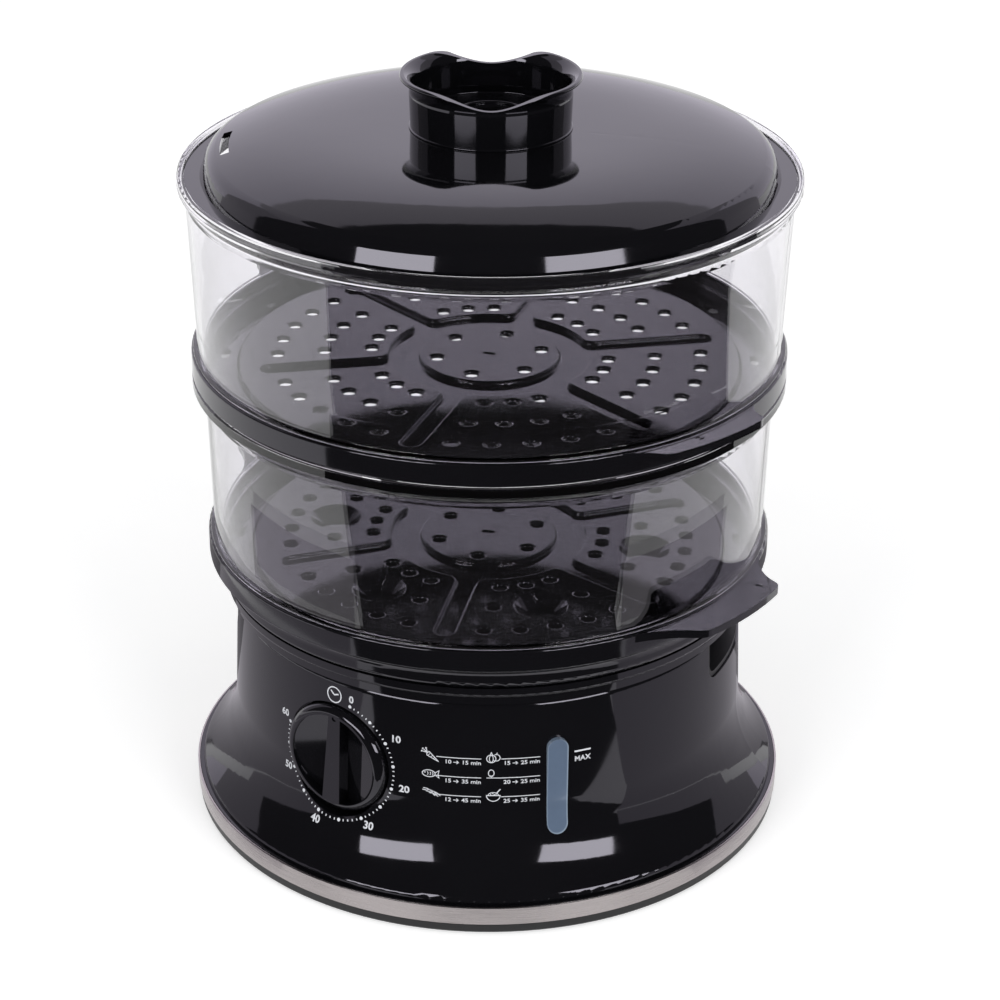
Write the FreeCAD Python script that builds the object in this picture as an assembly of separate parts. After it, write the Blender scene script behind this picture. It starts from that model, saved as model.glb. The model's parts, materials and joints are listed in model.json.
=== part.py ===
"""Two-tier electric food steamer, modelled piece by piece in millimetres.

The origin is the centre of the resting plane, +Z points up and the control panel faces -Y.
An angle named AZ is read like a compass: 0 is the front (-Y) and 90 is the right side (+X).
"""

import FreeCAD, Part
import math
import os

from FreeCAD import Vector

# ---- driving dimensions -------------------------------------------------------------------
PLAY = 0.3                           # gap between pieces that lift off each other
SNUG = 0.1                           # gap between fixed neighbours
TINY = 0.01
FAR = 200.0                          # longer than any piece, for cutting tools

# base housing
FLARE_R, FLARE_Z = 129.6, 13.9       # edge of the trumpet-shaped foot
WAIST_R, WAIST_Z = 111.3, 52.0       # where the flare runs into the straight wall
FLARE_ARC = 49.2                     # radius of the concave flare
TOP_R, TOP_Z = 109.3, 99.1           # top edge of the housing
MOUTH_R = 97.8                       # opening in the housing's top
TOP_EDGE = 3.2                       # rounding of the top edge
SKIN, MOULD = 2.5, 2.2               # wall of the housing, wall of the other mouldings
FOOT_EDGE_R = 127.3                  # rounded edge of the flare above the band
SHOULDER_R = 129.0                   # step in the housing that carries the band
BOSS_R, BOSS_TOP = 4.2, 42.0

# stainless band and bottom cover
BAND_R, BAND_THICK = 130.0, 0.8
BAND_BOTTOM, BAND_TOP = 5.4, 13.7
COVER_R, COVER_LIP_Z = 129.5, 1.2
COVER_Z0, COVER_Z1 = 1.9, 4.1        # faces of the cover's flat plate
COVER_WALL_IN, COVER_WALL_OUT = 124.0, 126.2
FEET, FOOT_R, FOOT_RING_R, FOOT_STEM_R = 4, 8.0, 104.0, 2.5
BASE_SCREWS, SCREW_RING_R, SCREW_R, SCREW_HEAD_R = 4, 112.5, 1.7, 3.6
SCREW_TURN = 45.0                    # screws stand between the feet
VENTS, VENT_W, VENT_R0, VENT_R1 = 12, 3.2, 20.0, 50.0

# water tank and heater
TANK_R, TANK_FLOOR, TANK_TOP = 96.9, 30.0, 96.4
HEATER_R, HEATER_TOP = 31.0, 38.2
HEATER_NECK_R, HEATER_BOTTOM = 20.5, 24.0
STUD_R, STUD_RING_R, STUD_AZ = 2.0, 25.5, (30.0, 150.0, 270.0)
ELEMENT_R, ELEMENT_W = 21.7, 7.0     # ring heater on the plate

# timer: heights along its own axis are distances from the steamer's axis
KNOB_AZ, KNOB_Z = -22.6, 61.2
KNOB_R, KNOB_BACK, KNOB_FACE = 24.7, 104.5, 112.7
GRIP_TOP_W, GRIP_FOOT_W = 5.8, 9.2   # the grip bar left between the knob's two scoops
SCOOP_DEPTH, SCOOP_RIM = 6.1, 4.0
RECESS_R, RECESS_FLOOR = 25.6, 104.0
POINTER_TURN = -4.0                  # rest angle of the pointer, clockwise from the front is negative
SHAFT_R, SHAFT_TIP = 3.0, 110.2
TIMER_HALF, TIMER_BACK, TIMER_FRONT = 21.0, 71.0, 101.4
BELL_R, BELL_BACK = 15.0, 64.0
TIMER_SCREW_X = (-14.0, 14.0)
BAY_HALF_W, BAY_HALF_H, BAY_BACK = 28.0, 23.0, 60.0

# level window, filler pockets, cord gland
WINDOW_AZ, WINDOW_W, WINDOW_Z0, WINDOW_Z1 = 26.9, 8.8, 37.2, 81.2
WINDOW_MID = (WINDOW_Z0 + WINDOW_Z1) / 2
PORT_Z = (WINDOW_Z0 + 8.0, WINDOW_Z1 - 2.0)      # the gauge's two ports into the tank
POCKET_HALF_W, POCKET_Z, POCKET_CORNER, POCKET_SKIN = 35.5, 81.8, 4.0, 1.8
POCKET_LIP, POCKET_LIP_THICK, POCKET_SUNK = 2.2, 2.2, 0.8  # frame of the filler mouth
GLAND_R, GLAND_BORE, GLAND_FLANGE_R, GLAND_Z = 6.0, 3.5, 9.0, 44.0

# turbo ring and drip tray
TURBO_FOOT_R, TURBO_TOP_R, TURBO_TOP = 35.6, 30.2, 84.0
TURBO_FOOT = TANK_FLOOR + MOULD + PLAY
TRAY_FLOOR, TRAY_RIM_R, TRAY_TOP = 88.5, 113.8, 107.9
TRAY_DISH_R = 92.6
CHIMNEY_R, CHIMNEY_TOP = 31.3, 101.0

# bowls
LOWER_RING_BOTTOM = TRAY_TOP + PLAY
LOWER_RING_R, LOWER_LEDGE, LOWER_TOP = 120.5, 117.8, 128.6
LOWER_LIP = 202.0
UPPER_RING_R, UPPER_LEDGE, UPPER_TOP = 124.5, 202.6, 212.1
UPPER_RING_BOTTOM = LOWER_LIP + PLAY
UPPER_LIP, LID_SEAT = 288.1, 284.5
EAR_TIP_R, EAR_RISE = 137.3, 2.3
EAR_FLAT, EAR_HALF = 9.5, 22.0       # half angles of the ear's tip and of its root
LOWER_EAR_AZ, UPPER_EAR_AZ = 62.0, 53.0
DRAINS, DRAIN_W, DRAIN_L = 12, 3.4, 9.4

# steaming grids
GRID_SKIN = 1.7
GROOVE_DEPTH, GROOVE_W = 2.2, 8.6
GROOVE_EDGE, GROOVE_BROW = 1.0, 0.8             # roundings at a groove's bed and at its upper edges
HUB_R, GROOVE_RING_R = 29.5, 42.5
PETALS = 6
PETAL_STEP = 360.0 / PETALS
STEAM_HOLE_R, STEAM_HOLE_EDGE = 2.7, 1.2         # hole and the rounding of its upper edge
HUB_HOLE_RING = 22.3
SLIT_L, SLIT_W = 6.0, 2.6
LOWER_GRID_R, LOWER_GROOVE_END, LOWER_GRID_TURN = 103.0, 92.0, 0.5
UPPER_GRID_R, UPPER_GROOVE_END, UPPER_GRID_TURN = 106.0, 96.5, -7.2
DISH_RING_R, DISH_R, DISH_DEPTH, DISH_TAPER = 68.6, 11.2, 5.0, 4.4

# lid
LID_FLAT_R, LID_FLAT_Z = 36.0, 304.3             # flat crown that carries the lid knob
LID_BEND_R, LID_BEND_Z, LID_BEND = 111.6, 296.2, 7.0    # start and radius of the roll-over
LID_EDGE_R, LID_EDGE_Z = 117.8, 286.6
LID_FLANGE_R, LID_FLANGE_Z = 124.1, LID_SEAT + PLAY
LID_TURN = 12.0                                  # the lid knob's dips face this way
STEAM_SLOT_AZ, STEAM_SLOT_R, STEAM_SLOT_L, STEAM_SLOT_W = -76.0, 107.5, 27.0, 3.6
CUP_R, CUP_RIM_R, CUP_TOP, CUP_SKIN = 32.6, 36.9, 326.6, 1.9
CUP_DIP, CUP_DIP_HALF = 6.0, 26.5
LID_SCREW_RING_R, LID_SCREW_AT = 19.0, (60.0, 180.0, 300.0)


# ---- helpers ------------------------------------------------------------------------------
def profile(first, *items):
    """Face in the XZ plane. An item is a point (r, z), an arc as (mid, end) or a ready edge."""
    start = here = Vector(first[0], 0, first[1])
    edges = []
    for item in items:
        if isinstance(item, Part.Shape):
            edge = item
        elif isinstance(item[0], tuple):
            (mid_r, mid_z), (end_r, end_z) = item
            edge = Part.Arc(here, Vector(mid_r, 0, mid_z), Vector(end_r, 0, end_z)).toShape()
        else:
            edge = Part.LineSegment(here, Vector(item[0], 0, item[1])).toShape()
        edges.append(edge)
        here = edge.Vertexes[-1].Point
    if (here - start).Length > TINY:
        edges.append(Part.LineSegment(here, start).toShape())
    return Part.Face(Part.Wire(edges))


def curve(points, start, end):
    """Smooth edge in the XZ plane through (r, z) points, with its two end directions."""
    spline = Part.BSplineCurve()
    spline.interpolate(Points=[Vector(r, 0, z) for r, z in points],
                       InitialTangent=Vector(start[0], 0, start[1]),
                       FinalTangent=Vector(end[0], 0, end[1]))
    return spline.toShape()


def revolve(*items):
    """Solid of revolution about the steamer's axis from a profile."""
    return profile(*items).revolve(Vector(0, 0, 0), Vector(0, 0, 1), 360)


def tube(r_in, r_out, z0, z1):
    return cylinder(r_out, z0, z1).cut(cylinder(r_in, z0, z1))


def cylinder(r, z0, z1, x=0.0, y=0.0):
    return Part.makeCylinder(r, z1 - z0, Vector(x, y, z0))


def box(x0, x1, y0, y1, z0, z1):
    return Part.makeBox(x1 - x0, y1 - y0, z1 - z0, Vector(x0, y0, z0))


def prism(points, z0, z1):
    """Upright block over a closed outline of (x, y) points."""
    corners = [Vector(x, y, z0) for x, y in points]
    return Part.Face(Part.makePolygon(corners + corners[:1])).extrude(Vector(0, 0, z1 - z0))


def turned(shape, degrees):
    """Copy of a shape turned about the steamer's axis, anticlockwise from above."""
    copy = shape.copy()
    copy.rotate(Vector(0, 0, 0), Vector(0, 0, 1), degrees)
    return copy


def moved(shape, x, y, z=0.0):
    copy = shape.copy()
    copy.translate(Vector(x, y, z))
    return copy


def polar(radius, degrees):
    a = math.radians(degrees)
    return radius * math.cos(a), radius * math.sin(a)


def ring_of(shape, count, start=0.0):
    return [turned(shape, start + 360.0 * i / count) for i in range(count)]


def outward(shape, azimuth, height):
    """Place a shape built with z outward, y up and x to the right, on the wall at an azimuth."""
    a = math.radians(azimuth)
    matrix = FreeCAD.Matrix(
        math.cos(a), 0, math.sin(a), 0,
        math.sin(a), 0, -math.cos(a), 0,
        0, 1, 0, height,
        0, 0, 0, 1)
    copy = shape.copy()
    copy.Placement = FreeCAD.Placement(matrix).multiply(copy.Placement)
    return copy


def on_timer(shape):
    """Place a shape built about the timer's axis."""
    return outward(shape, KNOB_AZ, KNOB_Z)


def stadium(width, length, z0, z1, growth=0.0):
    """Slot outline with round ends along y, centred on the local origin."""
    r = width / 2 + growth
    half = length / 2 - width / 2
    ends = [cylinder(r, z0, z1, 0, half), cylinder(r, z0, z1, 0, -half)]
    return box(-r, r, -half, half, z0, z1).fuse(ends).removeSplitter()


def wall_radius(z):
    """Outer radius of the housing at a height."""
    if z >= WAIST_Z:
        return WAIST_R + (TOP_R - WAIST_R) * (z - WAIST_Z) / (TOP_Z - WAIST_Z)
    return WAIST_R + FLARE_ARC - math.sqrt(FLARE_ARC ** 2 - (WAIST_Z - z) ** 2)


def wall_point(z, offset=0.0):
    """Point on the housing's wall at a height, moved inward by the offset along the radius."""
    return wall_radius(z) - offset, z


# ---- base ---------------------------------------------------------------------------------
def housing_body(offset):
    """Solid inside the housing's outer surface, moved inward by an offset."""
    return revolve(
        (0, FLARE_Z), (FLARE_R - offset, FLARE_Z),
        (wall_point(30, offset), wall_point(WAIST_Z, offset)),
        (TOP_R - offset, TOP_Z), (0, TOP_Z))


def housing_shell():
    """Turned shell of the housing: straight wall, concave flare and the step for the band."""
    skirt_z = BAND_BOTTOM - 0.2
    rounding = TOP_EDGE * (1 - math.sqrt(0.5))
    return revolve(
        (MOUTH_R, TOP_Z), (TOP_R - TOP_EDGE, TOP_Z),
        ((TOP_R - rounding, TOP_Z - rounding), wall_point(TOP_Z - TOP_EDGE)),
        (WAIST_R, WAIST_Z), (wall_point(30), wall_point(16.6)),
        ((FOOT_EDGE_R - 0.27, 15.7), (FOOT_EDGE_R, 14.5)), (FOOT_EDGE_R, FLARE_Z),
        (SHOULDER_R, FLARE_Z), (SHOULDER_R, skirt_z), (SHOULDER_R - SKIN, skirt_z),
        (SHOULDER_R - SKIN, FLARE_Z - SKIN / 2), (wall_point(32, SKIN), wall_point(WAIST_Z, SKIN)),
        (TOP_R - SKIN, TOP_Z - SKIN), (MOUTH_R, TOP_Z - SKIN))


def pocket_block(growth, x0, x1):
    """Round-cornered block in the shape of the filler mouth on the right side."""
    half, low, r = POCKET_HALF_W + growth, POCKET_Z - growth, POCKET_CORNER + growth
    top = TOP_Z + 5.0
    upper = box(x0, x1, -half, half, low + r, top)
    foot = box(x0, x1, -half + r, half - r, low, low + r)
    corners = [Part.makeCylinder(r, x1 - x0, Vector(x0, side * (half - r), low + r), Vector(1, 0, 0))
               for side in (-1, 1)]
    return upper.fuse([foot] + corners).removeSplitter()


def countersink(x):
    """Hole for one timer screw through the floor of the knob's recess, on the timer's axes."""
    sink = Part.makeCone(1.6, 3.3, 1.7, Vector(x, 0, RECESS_FLOOR - 1.65))
    return sink.fuse(cylinder(1.6, RECESS_FLOOR - 9, RECESS_FLOOR, x, 0))


def base_housing():
    shell = housing_shell()
    within = housing_body(1.0)
    # cup behind the timer knob
    cup = on_timer(cylinder(RECESS_R + MOULD, RECESS_FLOOR - 2.4, 116)).common(within)
    shell = shell.fuse(cup).cut(on_timer(cylinder(RECESS_R, RECESS_FLOOR, FAR)))
    shell = shell.cut(on_timer(cylinder(5.2, 90, RECESS_FLOOR + 1)))
    for x in TIMER_SCREW_X:
        shell = shell.cut(on_timer(countersink(x)))
    # slot for the level window
    slot = stadium(WINDOW_W, WINDOW_Z1 - WINDOW_Z0, 100, FAR, SNUG)
    shell = shell.cut(outward(slot, WINDOW_AZ, WINDOW_MID))
    # notches for the tank's filler mouths on both sides
    shell = shell.cut(ring_of(pocket_block(POCKET_LIP + PLAY, MOUTH_R - 5, FAR), 2))
    # bosses for the screws of the bottom cover
    for boss in ring_of(cylinder(BOSS_R, 7.3, BOSS_TOP, SCREW_RING_R, 0), BASE_SCREWS, SCREW_TURN):
        shell = shell.fuse(boss.common(within))
    pilot = cylinder(SCREW_R + SNUG, 7, 20, SCREW_RING_R, 0)
    for hole in ring_of(pilot, BASE_SCREWS, SCREW_TURN):
        shell = shell.cut(hole)
    # hole for the cord gland at the back
    shell = shell.cut(outward(cylinder(GLAND_R + SNUG, TANK_R, FAR), 180, GLAND_Z))
    return shell.removeSplitter()


def steel_trim_ring():
    inner, chamfer = BAND_R - BAND_THICK, 0.3
    return revolve(
        (inner, BAND_BOTTOM), (BAND_R - chamfer, BAND_BOTTOM), (BAND_R, BAND_BOTTOM + chamfer),
        (BAND_R, BAND_TOP - chamfer), (BAND_R - chamfer, BAND_TOP), (inner, BAND_TOP))


def bottom_cover():
    lip_top, wall_top, lip_w = 5.1, 10.0, 3.0
    cover = revolve(
        (0, COVER_Z0), (COVER_R - lip_w, COVER_Z0), (COVER_R - lip_w + 0.4, COVER_LIP_Z),
        (COVER_R - 0.6, COVER_LIP_Z), (COVER_R, COVER_LIP_Z + 0.8), (COVER_R, lip_top),
        (COVER_WALL_OUT, lip_top), (COVER_WALL_OUT, wall_top), (COVER_WALL_IN, wall_top),
        (COVER_WALL_IN, COVER_Z1), (0, COVER_Z1))
    cup_r, sink_r, sink_top, cup_top = 6.4, 4.3, 5.3, 7.1
    at_screw = SCREW_RING_R, 0
    for cup in ring_of(cylinder(cup_r, COVER_Z0, cup_top, *at_screw), BASE_SCREWS, SCREW_TURN):
        cover = cover.fuse(cup)
    drill = cylinder(sink_r, 0, sink_top, *at_screw).fuse(cylinder(SCREW_R + 0.4, 0, 10, *at_screw))
    feet = ring_of(cylinder(FOOT_STEM_R + SNUG, 0, 10, FOOT_RING_R, 0), FEET)
    vents = ring_of(box(VENT_R0, VENT_R1, -VENT_W / 2, VENT_W / 2, 0, 10), VENTS, 15)
    for tool in ring_of(drill, BASE_SCREWS, SCREW_TURN) + feet + vents:
        cover = cover.cut(tool)
    return cover.removeSplitter()


def rubber_feet():
    """Feet with a stem and a barbed button that pull through holes in the cover."""
    pad_top, button_z = COVER_Z0 - SNUG, COVER_Z1 + 0.05
    foot = revolve(
        (0, 0), (FOOT_R - 1.2, 0), (FOOT_R, 1.0), (FOOT_R, pad_top), (FOOT_STEM_R, pad_top),
        (FOOT_STEM_R, button_z), (FOOT_STEM_R + 1.1, button_z), (FOOT_STEM_R - 0.3, 6.2), (0, 6.2))
    return Part.makeCompound(ring_of(moved(foot, FOOT_RING_R, 0), FEET))


def bottom_screws():
    head_z, seat_z, tip_z = 3.0, 5.2, 18.0
    screw = revolve(
        (0, head_z), (SCREW_HEAD_R - 0.8, head_z), (SCREW_HEAD_R, head_z + 0.8), (SCREW_HEAD_R, seat_z),
        (SCREW_R, seat_z), (SCREW_R, tip_z - 1), (0, tip_z))
    return Part.makeCompound(ring_of(moved(screw, SCREW_RING_R, 0), BASE_SCREWS, SCREW_TURN))


# ---- water tank and heater ----------------------------------------------------------------
def timer_bay(growth):
    """Room at the front of the tank that the timer takes, grown by a wall."""
    half_w, half_h = BAY_HALF_W + growth, BAY_HALF_H + growth
    return on_timer(box(-half_w, half_w, -half_h, half_h, BAY_BACK - growth, FAR))


def tank_body(inset, floor, top):
    """Pot with a rounded foot, its side moved inward by an inset."""
    r, bend = TANK_R - inset, 9.0 - inset
    mid = bend * (1 - math.sqrt(0.5))
    return revolve((0, floor), (r - bend, floor), ((r - mid, floor + mid), (r, floor + bend)),
                   (r, top), (0, top))


def filler_mouth():
    """Spout of the tank on the right side, with a frame that lies just inside the housing's wall."""
    reach = housing_body(POCKET_SUNK)
    spout = pocket_block(POCKET_SKIN, TANK_R - 1, WAIST_R).common(reach)
    frame = pocket_block(POCKET_LIP, TANK_R + 3, WAIST_R).common(reach)
    return spout.fuse(frame.cut(housing_body(POCKET_SUNK + POCKET_LIP_THICK)))


def water_tank():
    outer = tank_body(0, TANK_FLOOR, TANK_TOP).cut(timer_bay(0))
    inner = tank_body(MOULD, TANK_FLOOR + MOULD, TANK_TOP + 5).cut(timer_bay(MOULD))
    tank = outer.cut(inner)
    # flange that hangs under the housing's top
    tank = tank.fuse(tube(TANK_R - 1, TOP_R - SKIN - 0.5, TANK_TOP - 2.4, TANK_TOP))
    # heater opening and the holes for its studs
    tank = tank.cut(cylinder(HEATER_NECK_R + 1.5, TANK_FLOOR - 3, TANK_FLOOR + 7))
    for angle in STUD_AZ:
        x, y = polar(STUD_RING_R, angle)
        tank = tank.cut(cylinder(STUD_R + 0.2, TANK_FLOOR - 3, TANK_FLOOR + 7, x, y))
    tank = tank.fuse(ring_of(filler_mouth(), 2)).cut(ring_of(pocket_block(0, TANK_R - 12, FAR), 2))
    for z in PORT_Z:
        tank = tank.cut(outward(cylinder(2.6, 85, 100), WINDOW_AZ, z))
    return tank.removeSplitter()


def heater_plate():
    """Die-cast plate with a neck through the tank's floor and three studs."""
    flange_z, edge_z = 34.1, 37.0
    plate = revolve(
        (0, HEATER_BOTTOM), (HEATER_NECK_R, HEATER_BOTTOM), (HEATER_NECK_R, flange_z),
        (HEATER_R, flange_z), (HEATER_R, edge_z), (HEATER_R - 2, HEATER_TOP), (0, HEATER_TOP))
    studs = [cylinder(STUD_R, 27, flange_z + SNUG, *polar(STUD_RING_R, a)) for a in STUD_AZ]
    return plate.fuse(studs).removeSplitter()


def heating_element():
    """Sheathed ring heater with a flat foot on the plate."""
    z0, z1, half, edge = HEATER_TOP + SNUG, 45.0, ELEMENT_W / 2, 2.0
    r0, r1 = ELEMENT_R - half, ELEMENT_R + half
    return revolve((r0, z0), (r1, z0), (r1, z1 - edge), (r1 - edge, z1), (r0 + edge, z1),
                   (r0, z1 - edge))


def heater_terminals():
    """Two pins with flat blades under the heater."""
    x, y, z = 11.0, 4.0, 18.0
    pin = cylinder(1.6, z, HEATER_BOTTOM - SNUG, x, y)
    blade = box(x - 3.1, x + 3.1, y - 0.4, y + 0.4, z - 8, z + 0.2)
    terminal = pin.fuse(blade).removeSplitter()
    return Part.makeCompound([terminal, moved(terminal, -2 * x, 0)])


def heater_gasket():
    floor = TANK_FLOOR + MOULD + SNUG
    ring = tube(22.2, 30.5, floor, 34.0)
    return ring.cut([cylinder(STUD_R + 0.2, floor, 36, *polar(STUD_RING_R, a)) for a in STUD_AZ])


def heater_nuts():
    """Hexagon nuts on the heater's studs, under the tank's floor."""
    z0, z1, corner_r = 27.3, 29.9, 4.0
    hexagon = [polar(corner_r, k * 60) for k in range(6)]
    nut = prism(hexagon, z0, z1).cut(cylinder(STUD_R + 0.05, z0 - 1, z1 + 1))
    return Part.makeCompound([moved(nut, *polar(STUD_RING_R, a)) for a in STUD_AZ])


def thermostat():
    """Disc thermostat clamped to the underside of the heater."""
    z0, z1, r = 16.5, HEATER_BOTTOM - SNUG, 8.0
    disc = revolve((0, z0), (r, z0), (r, z1 - 1.4), (r - 1.5, z1), (0, z1))
    tab = box(-12, 12, -2.5, 2.5, 22.2, 22.9)
    return moved(disc.fuse(tab).removeSplitter(), 0, -9)


def thermal_fuse():
    y, z = 15.0, 21.6
    barrel = Part.makeCylinder(2.2, 14, Vector(-7, y, z), Vector(1, 0, 0))
    lead = Part.makeCylinder(0.6, 22, Vector(-11, y, z), Vector(1, 0, 0))
    return barrel.fuse(lead).removeSplitter()


def terminal_block():
    block = box(-15, 15, 62, 78, COVER_Z1 + 0.2, 16)
    return block.cut([cylinder(2.2, 8, 20, x, 70) for x in (-10, 0, 10)])


# ---- timer --------------------------------------------------------------------------------
def timer_body():
    """Clockwork case with a mounting plate and the bush of its shaft."""
    plate_back, bush_tip = 98.0, 103.4
    case = box(-TIMER_HALF, TIMER_HALF, -TIMER_HALF, TIMER_HALF, TIMER_BACK, plate_back)
    plate = box(-24, 24, -17, 17, plate_back, TIMER_FRONT)
    body = case.fuse([plate, cylinder(5.0, TIMER_FRONT - 0.4, bush_tip)]).removeSplitter()
    holes = [cylinder(1.5, 90, 105, x, 0) for x in TIMER_SCREW_X]
    return on_timer(body.cut(holes + [cylinder(SHAFT_R + 0.06, 84, 110)]))


def timer_bell():
    """Stamped bell on a post behind the clockwork."""
    back, rim, thick, post_r = BELL_BACK, TIMER_BACK - SNUG, 1.0, 2.2
    bell = revolve(
        (0, back), (BELL_R - 2, back), (BELL_R, back + 2), (BELL_R, rim), (BELL_R - thick, rim),
        (BELL_R - thick, back + 2.5), (BELL_R - 2.4, back + thick), (post_r, back + thick),
        (post_r, rim), (0, rim))
    return on_timer(bell)


def timer_screws():
    head_z, tip_z = RECESS_FLOOR - 0.05, 92.0
    screw = revolve((0, tip_z), (1.4, tip_z), (1.4, head_z - 1.65), (3.1, head_z), (0, head_z))
    return Part.makeCompound([on_timer(moved(screw, x, 0)) for x in TIMER_SCREW_X])


def timer_shaft():
    """Round shaft with a flat at its tip, turned with the pointer."""
    flat = box(-4, 4, SHAFT_R - 1, 4, 105, 115)
    return on_timer(turned(cylinder(SHAFT_R, 86, SHAFT_TIP).cut(flat), POINTER_TURN))


def knob_scoop(side):
    """Cutter of one finger scoop: it leaves the tapered grip bar and slopes up to the rim."""
    dish_r = KNOB_R - SCOOP_RIM
    reach, near = 30.0, side * GRIP_TOP_W / 2
    bar = prism([(-side * reach, -reach), (side * GRIP_FOOT_W / 2, -reach),
                 (side * (GRIP_FOOT_W / 2 - 0.2), -dish_r), (near, dish_r), (near, reach),
                 (-side * reach, reach)], 90, 130)
    low, high = KNOB_FACE - SCOOP_DEPTH, KNOB_FACE + 1.6
    slope = profile((0, 90), (side * reach, 90), (side * reach, high), (side * 3.5, low), (0, low))
    floor = moved(slope.extrude(Vector(0, 2 * reach, 0)), 0, -reach)
    return cylinder(dish_r, 100, 120).cut([bar, floor])


def timer_knob():
    edge = 3.7
    body = revolve(
        (0, KNOB_BACK), (KNOB_R - 0.8, KNOB_BACK), (KNOB_R, KNOB_BACK + 1.0), (KNOB_R, KNOB_FACE - edge),
        ((KNOB_R - edge * 0.3, KNOB_FACE - edge * 0.3), (KNOB_R - edge, KNOB_FACE)), (0, KNOB_FACE))
    for side in (-1, 1):
        body = body.cut(knob_scoop(side))
    body = body.cut(cylinder(SHAFT_R + 0.04, KNOB_BACK - 1, SHAFT_TIP + SNUG))
    # pointer dimple near the edge
    body = body.cut(cylinder(1.1, KNOB_FACE - 0.5, KNOB_FACE + 1, 0, KNOB_R - 4.6))
    return on_timer(turned(body.removeSplitter(), POINTER_TURN))


# ---- level window and cord gland ----------------------------------------------------------
def level_window():
    """Clear moulding: the window in the wall, the gauge chamber behind it and its two ports."""
    proud, sunk, below = 0.7, -5.0, WINDOW_Z0 - 2
    outline = outward(stadium(WINDOW_W, WINDOW_Z1 - WINDOW_Z0, 104, FAR), WINDOW_AZ, WINDOW_MID)
    skin = revolve(
        (WAIST_R + sunk, WINDOW_Z1 + 3), (WAIST_R + proud, WINDOW_Z1 + 3), (WAIST_R + proud, WAIST_Z),
        (wall_point(42, -proud), wall_point(below, -proud)), (WAIST_R + sunk, below))
    half_w, half_h, back, front = 6.0, 22.0, 98.6, 107.0
    chamber = box(-half_w, half_w, -half_h, half_h, back, front)
    wall = 1.4
    hollow = box(wall - half_w, half_w - wall, wall - half_h, half_h - wall, back + wall, front - wall)
    window = outline.common(skin).fuse(outward(chamber, WINDOW_AZ, WINDOW_MID))
    window = window.cut(outward(hollow, WINDOW_AZ, WINDOW_MID))
    for z in PORT_Z:
        port = outward(cylinder(2.5, TANK_R - 2, back + 0.4), WINDOW_AZ, z)
        bore = outward(cylinder(1.5, TANK_R - 3, back + wall + 1), WINDOW_AZ, z)
        window = window.fuse(port).cut(bore)
    return window.removeSplitter()


def cord_gland():
    """Flanged bush for the cord; the flange's back follows the housing's wall."""
    face = wall_radius(GLAND_Z) + 2.6
    gland = revolve(
        (GLAND_BORE, 100), (GLAND_R, 100), (GLAND_R, face - 2.0), (GLAND_FLANGE_R, face - 2.0),
        (GLAND_FLANGE_R, face - 0.8), (GLAND_FLANGE_R - 0.8, face), (GLAND_BORE, face))
    stem = outward(cylinder(GLAND_R + 0.05, 95, 130), 180, GLAND_Z)
    return outward(gland, 180, GLAND_Z).cut(housing_body(-0.05).cut(stem))


# ---- turbo ring and drip tray -------------------------------------------------------------
def turbo_ring():
    """Tapered sleeve round the heater with water ports at its foot."""
    wall, port_top = 1.8, TURBO_FOOT + 8
    ring = revolve(
        (TURBO_FOOT_R - wall, TURBO_FOOT), (TURBO_FOOT_R + 2.4, TURBO_FOOT),
        (TURBO_FOOT_R + 2.4, TURBO_FOOT + wall), (TURBO_FOOT_R, TURBO_FOOT + wall),
        (TURBO_TOP_R, TURBO_TOP), (TURBO_TOP_R - wall, TURBO_TOP))
    ports = ring_of(box(20, 45, -6, 6, TURBO_FOOT - 1, port_top), 4, 45)
    return ring.cut(ports).removeSplitter()


def drip_tray():
    """Ring-shaped dish with a steam chimney, hung in the housing's mouth by its rim."""
    wall, seat, plate_top = MOULD, TOP_Z + PLAY, TOP_Z + PLAY + MOULD
    dish, floor_top = TRAY_DISH_R, TRAY_FLOOR + MOULD
    step_r = TRAY_RIM_R - 2.1
    return revolve(
        (CHIMNEY_R, TRAY_FLOOR), (dish - 2.1, TRAY_FLOOR),
        ((dish - 0.5, TRAY_FLOOR + 0.7), (dish, TRAY_FLOOR + 2.5)),
        (dish + 0.9, seat), (step_r, seat), (step_r + 0.2, 103.2),
        ((TRAY_RIM_R - 0.6, 103.8), (TRAY_RIM_R - 0.1, 105.1)),
        (TRAY_RIM_R, TRAY_TOP), (step_r - 0.1, TRAY_TOP), (step_r - 0.3, TRAY_TOP + 2.4),
        (step_r - 2.0, TRAY_TOP + 2.4), (step_r - 2.3, plate_top), (dish + 3.0, plate_top),
        (dish - 1.3, plate_top - 0.4), (dish - 2.2, floor_top + 1.2), (dish - 3.4, floor_top),
        (CHIMNEY_R + wall, floor_top), (CHIMNEY_R + wall - 0.2, CHIMNEY_TOP), (CHIMNEY_R, CHIMNEY_TOP))


# ---- bowls --------------------------------------------------------------------------------
def ear_outline(root_r):
    """Plan outline of one carrying ear, centred on +X: a blunt tip on two sweeping flanks."""
    def at(r, a):
        return Vector(*polar(r, a), 0)
    tip, inner = EAR_TIP_R, root_r - 2.0
    edges = [Part.Arc(at(tip, -EAR_FLAT), at(tip, 0), at(tip, EAR_FLAT))]
    for s in (1, -1):
        shoulder = at(tip - 3.0, s * (EAR_FLAT + 2.1))
        root = at(root_r, s * EAR_HALF)
        edges += [Part.Arc(at(tip, s * EAR_FLAT), at(tip - 0.9, s * (EAR_FLAT + 1.2)), shoulder),
                  Part.Arc(shoulder, at(tip - 10.5, s * (EAR_FLAT + 5.0)), root),
                  Part.LineSegment(root, at(inner, s * EAR_HALF))]
    edges.append(Part.Arc(at(inner, EAR_HALF), at(inner, 0), at(inner, -EAR_HALF)))
    return Part.Wire(Part.__sortEdges__([edge.toShape() for edge in edges]))


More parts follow.
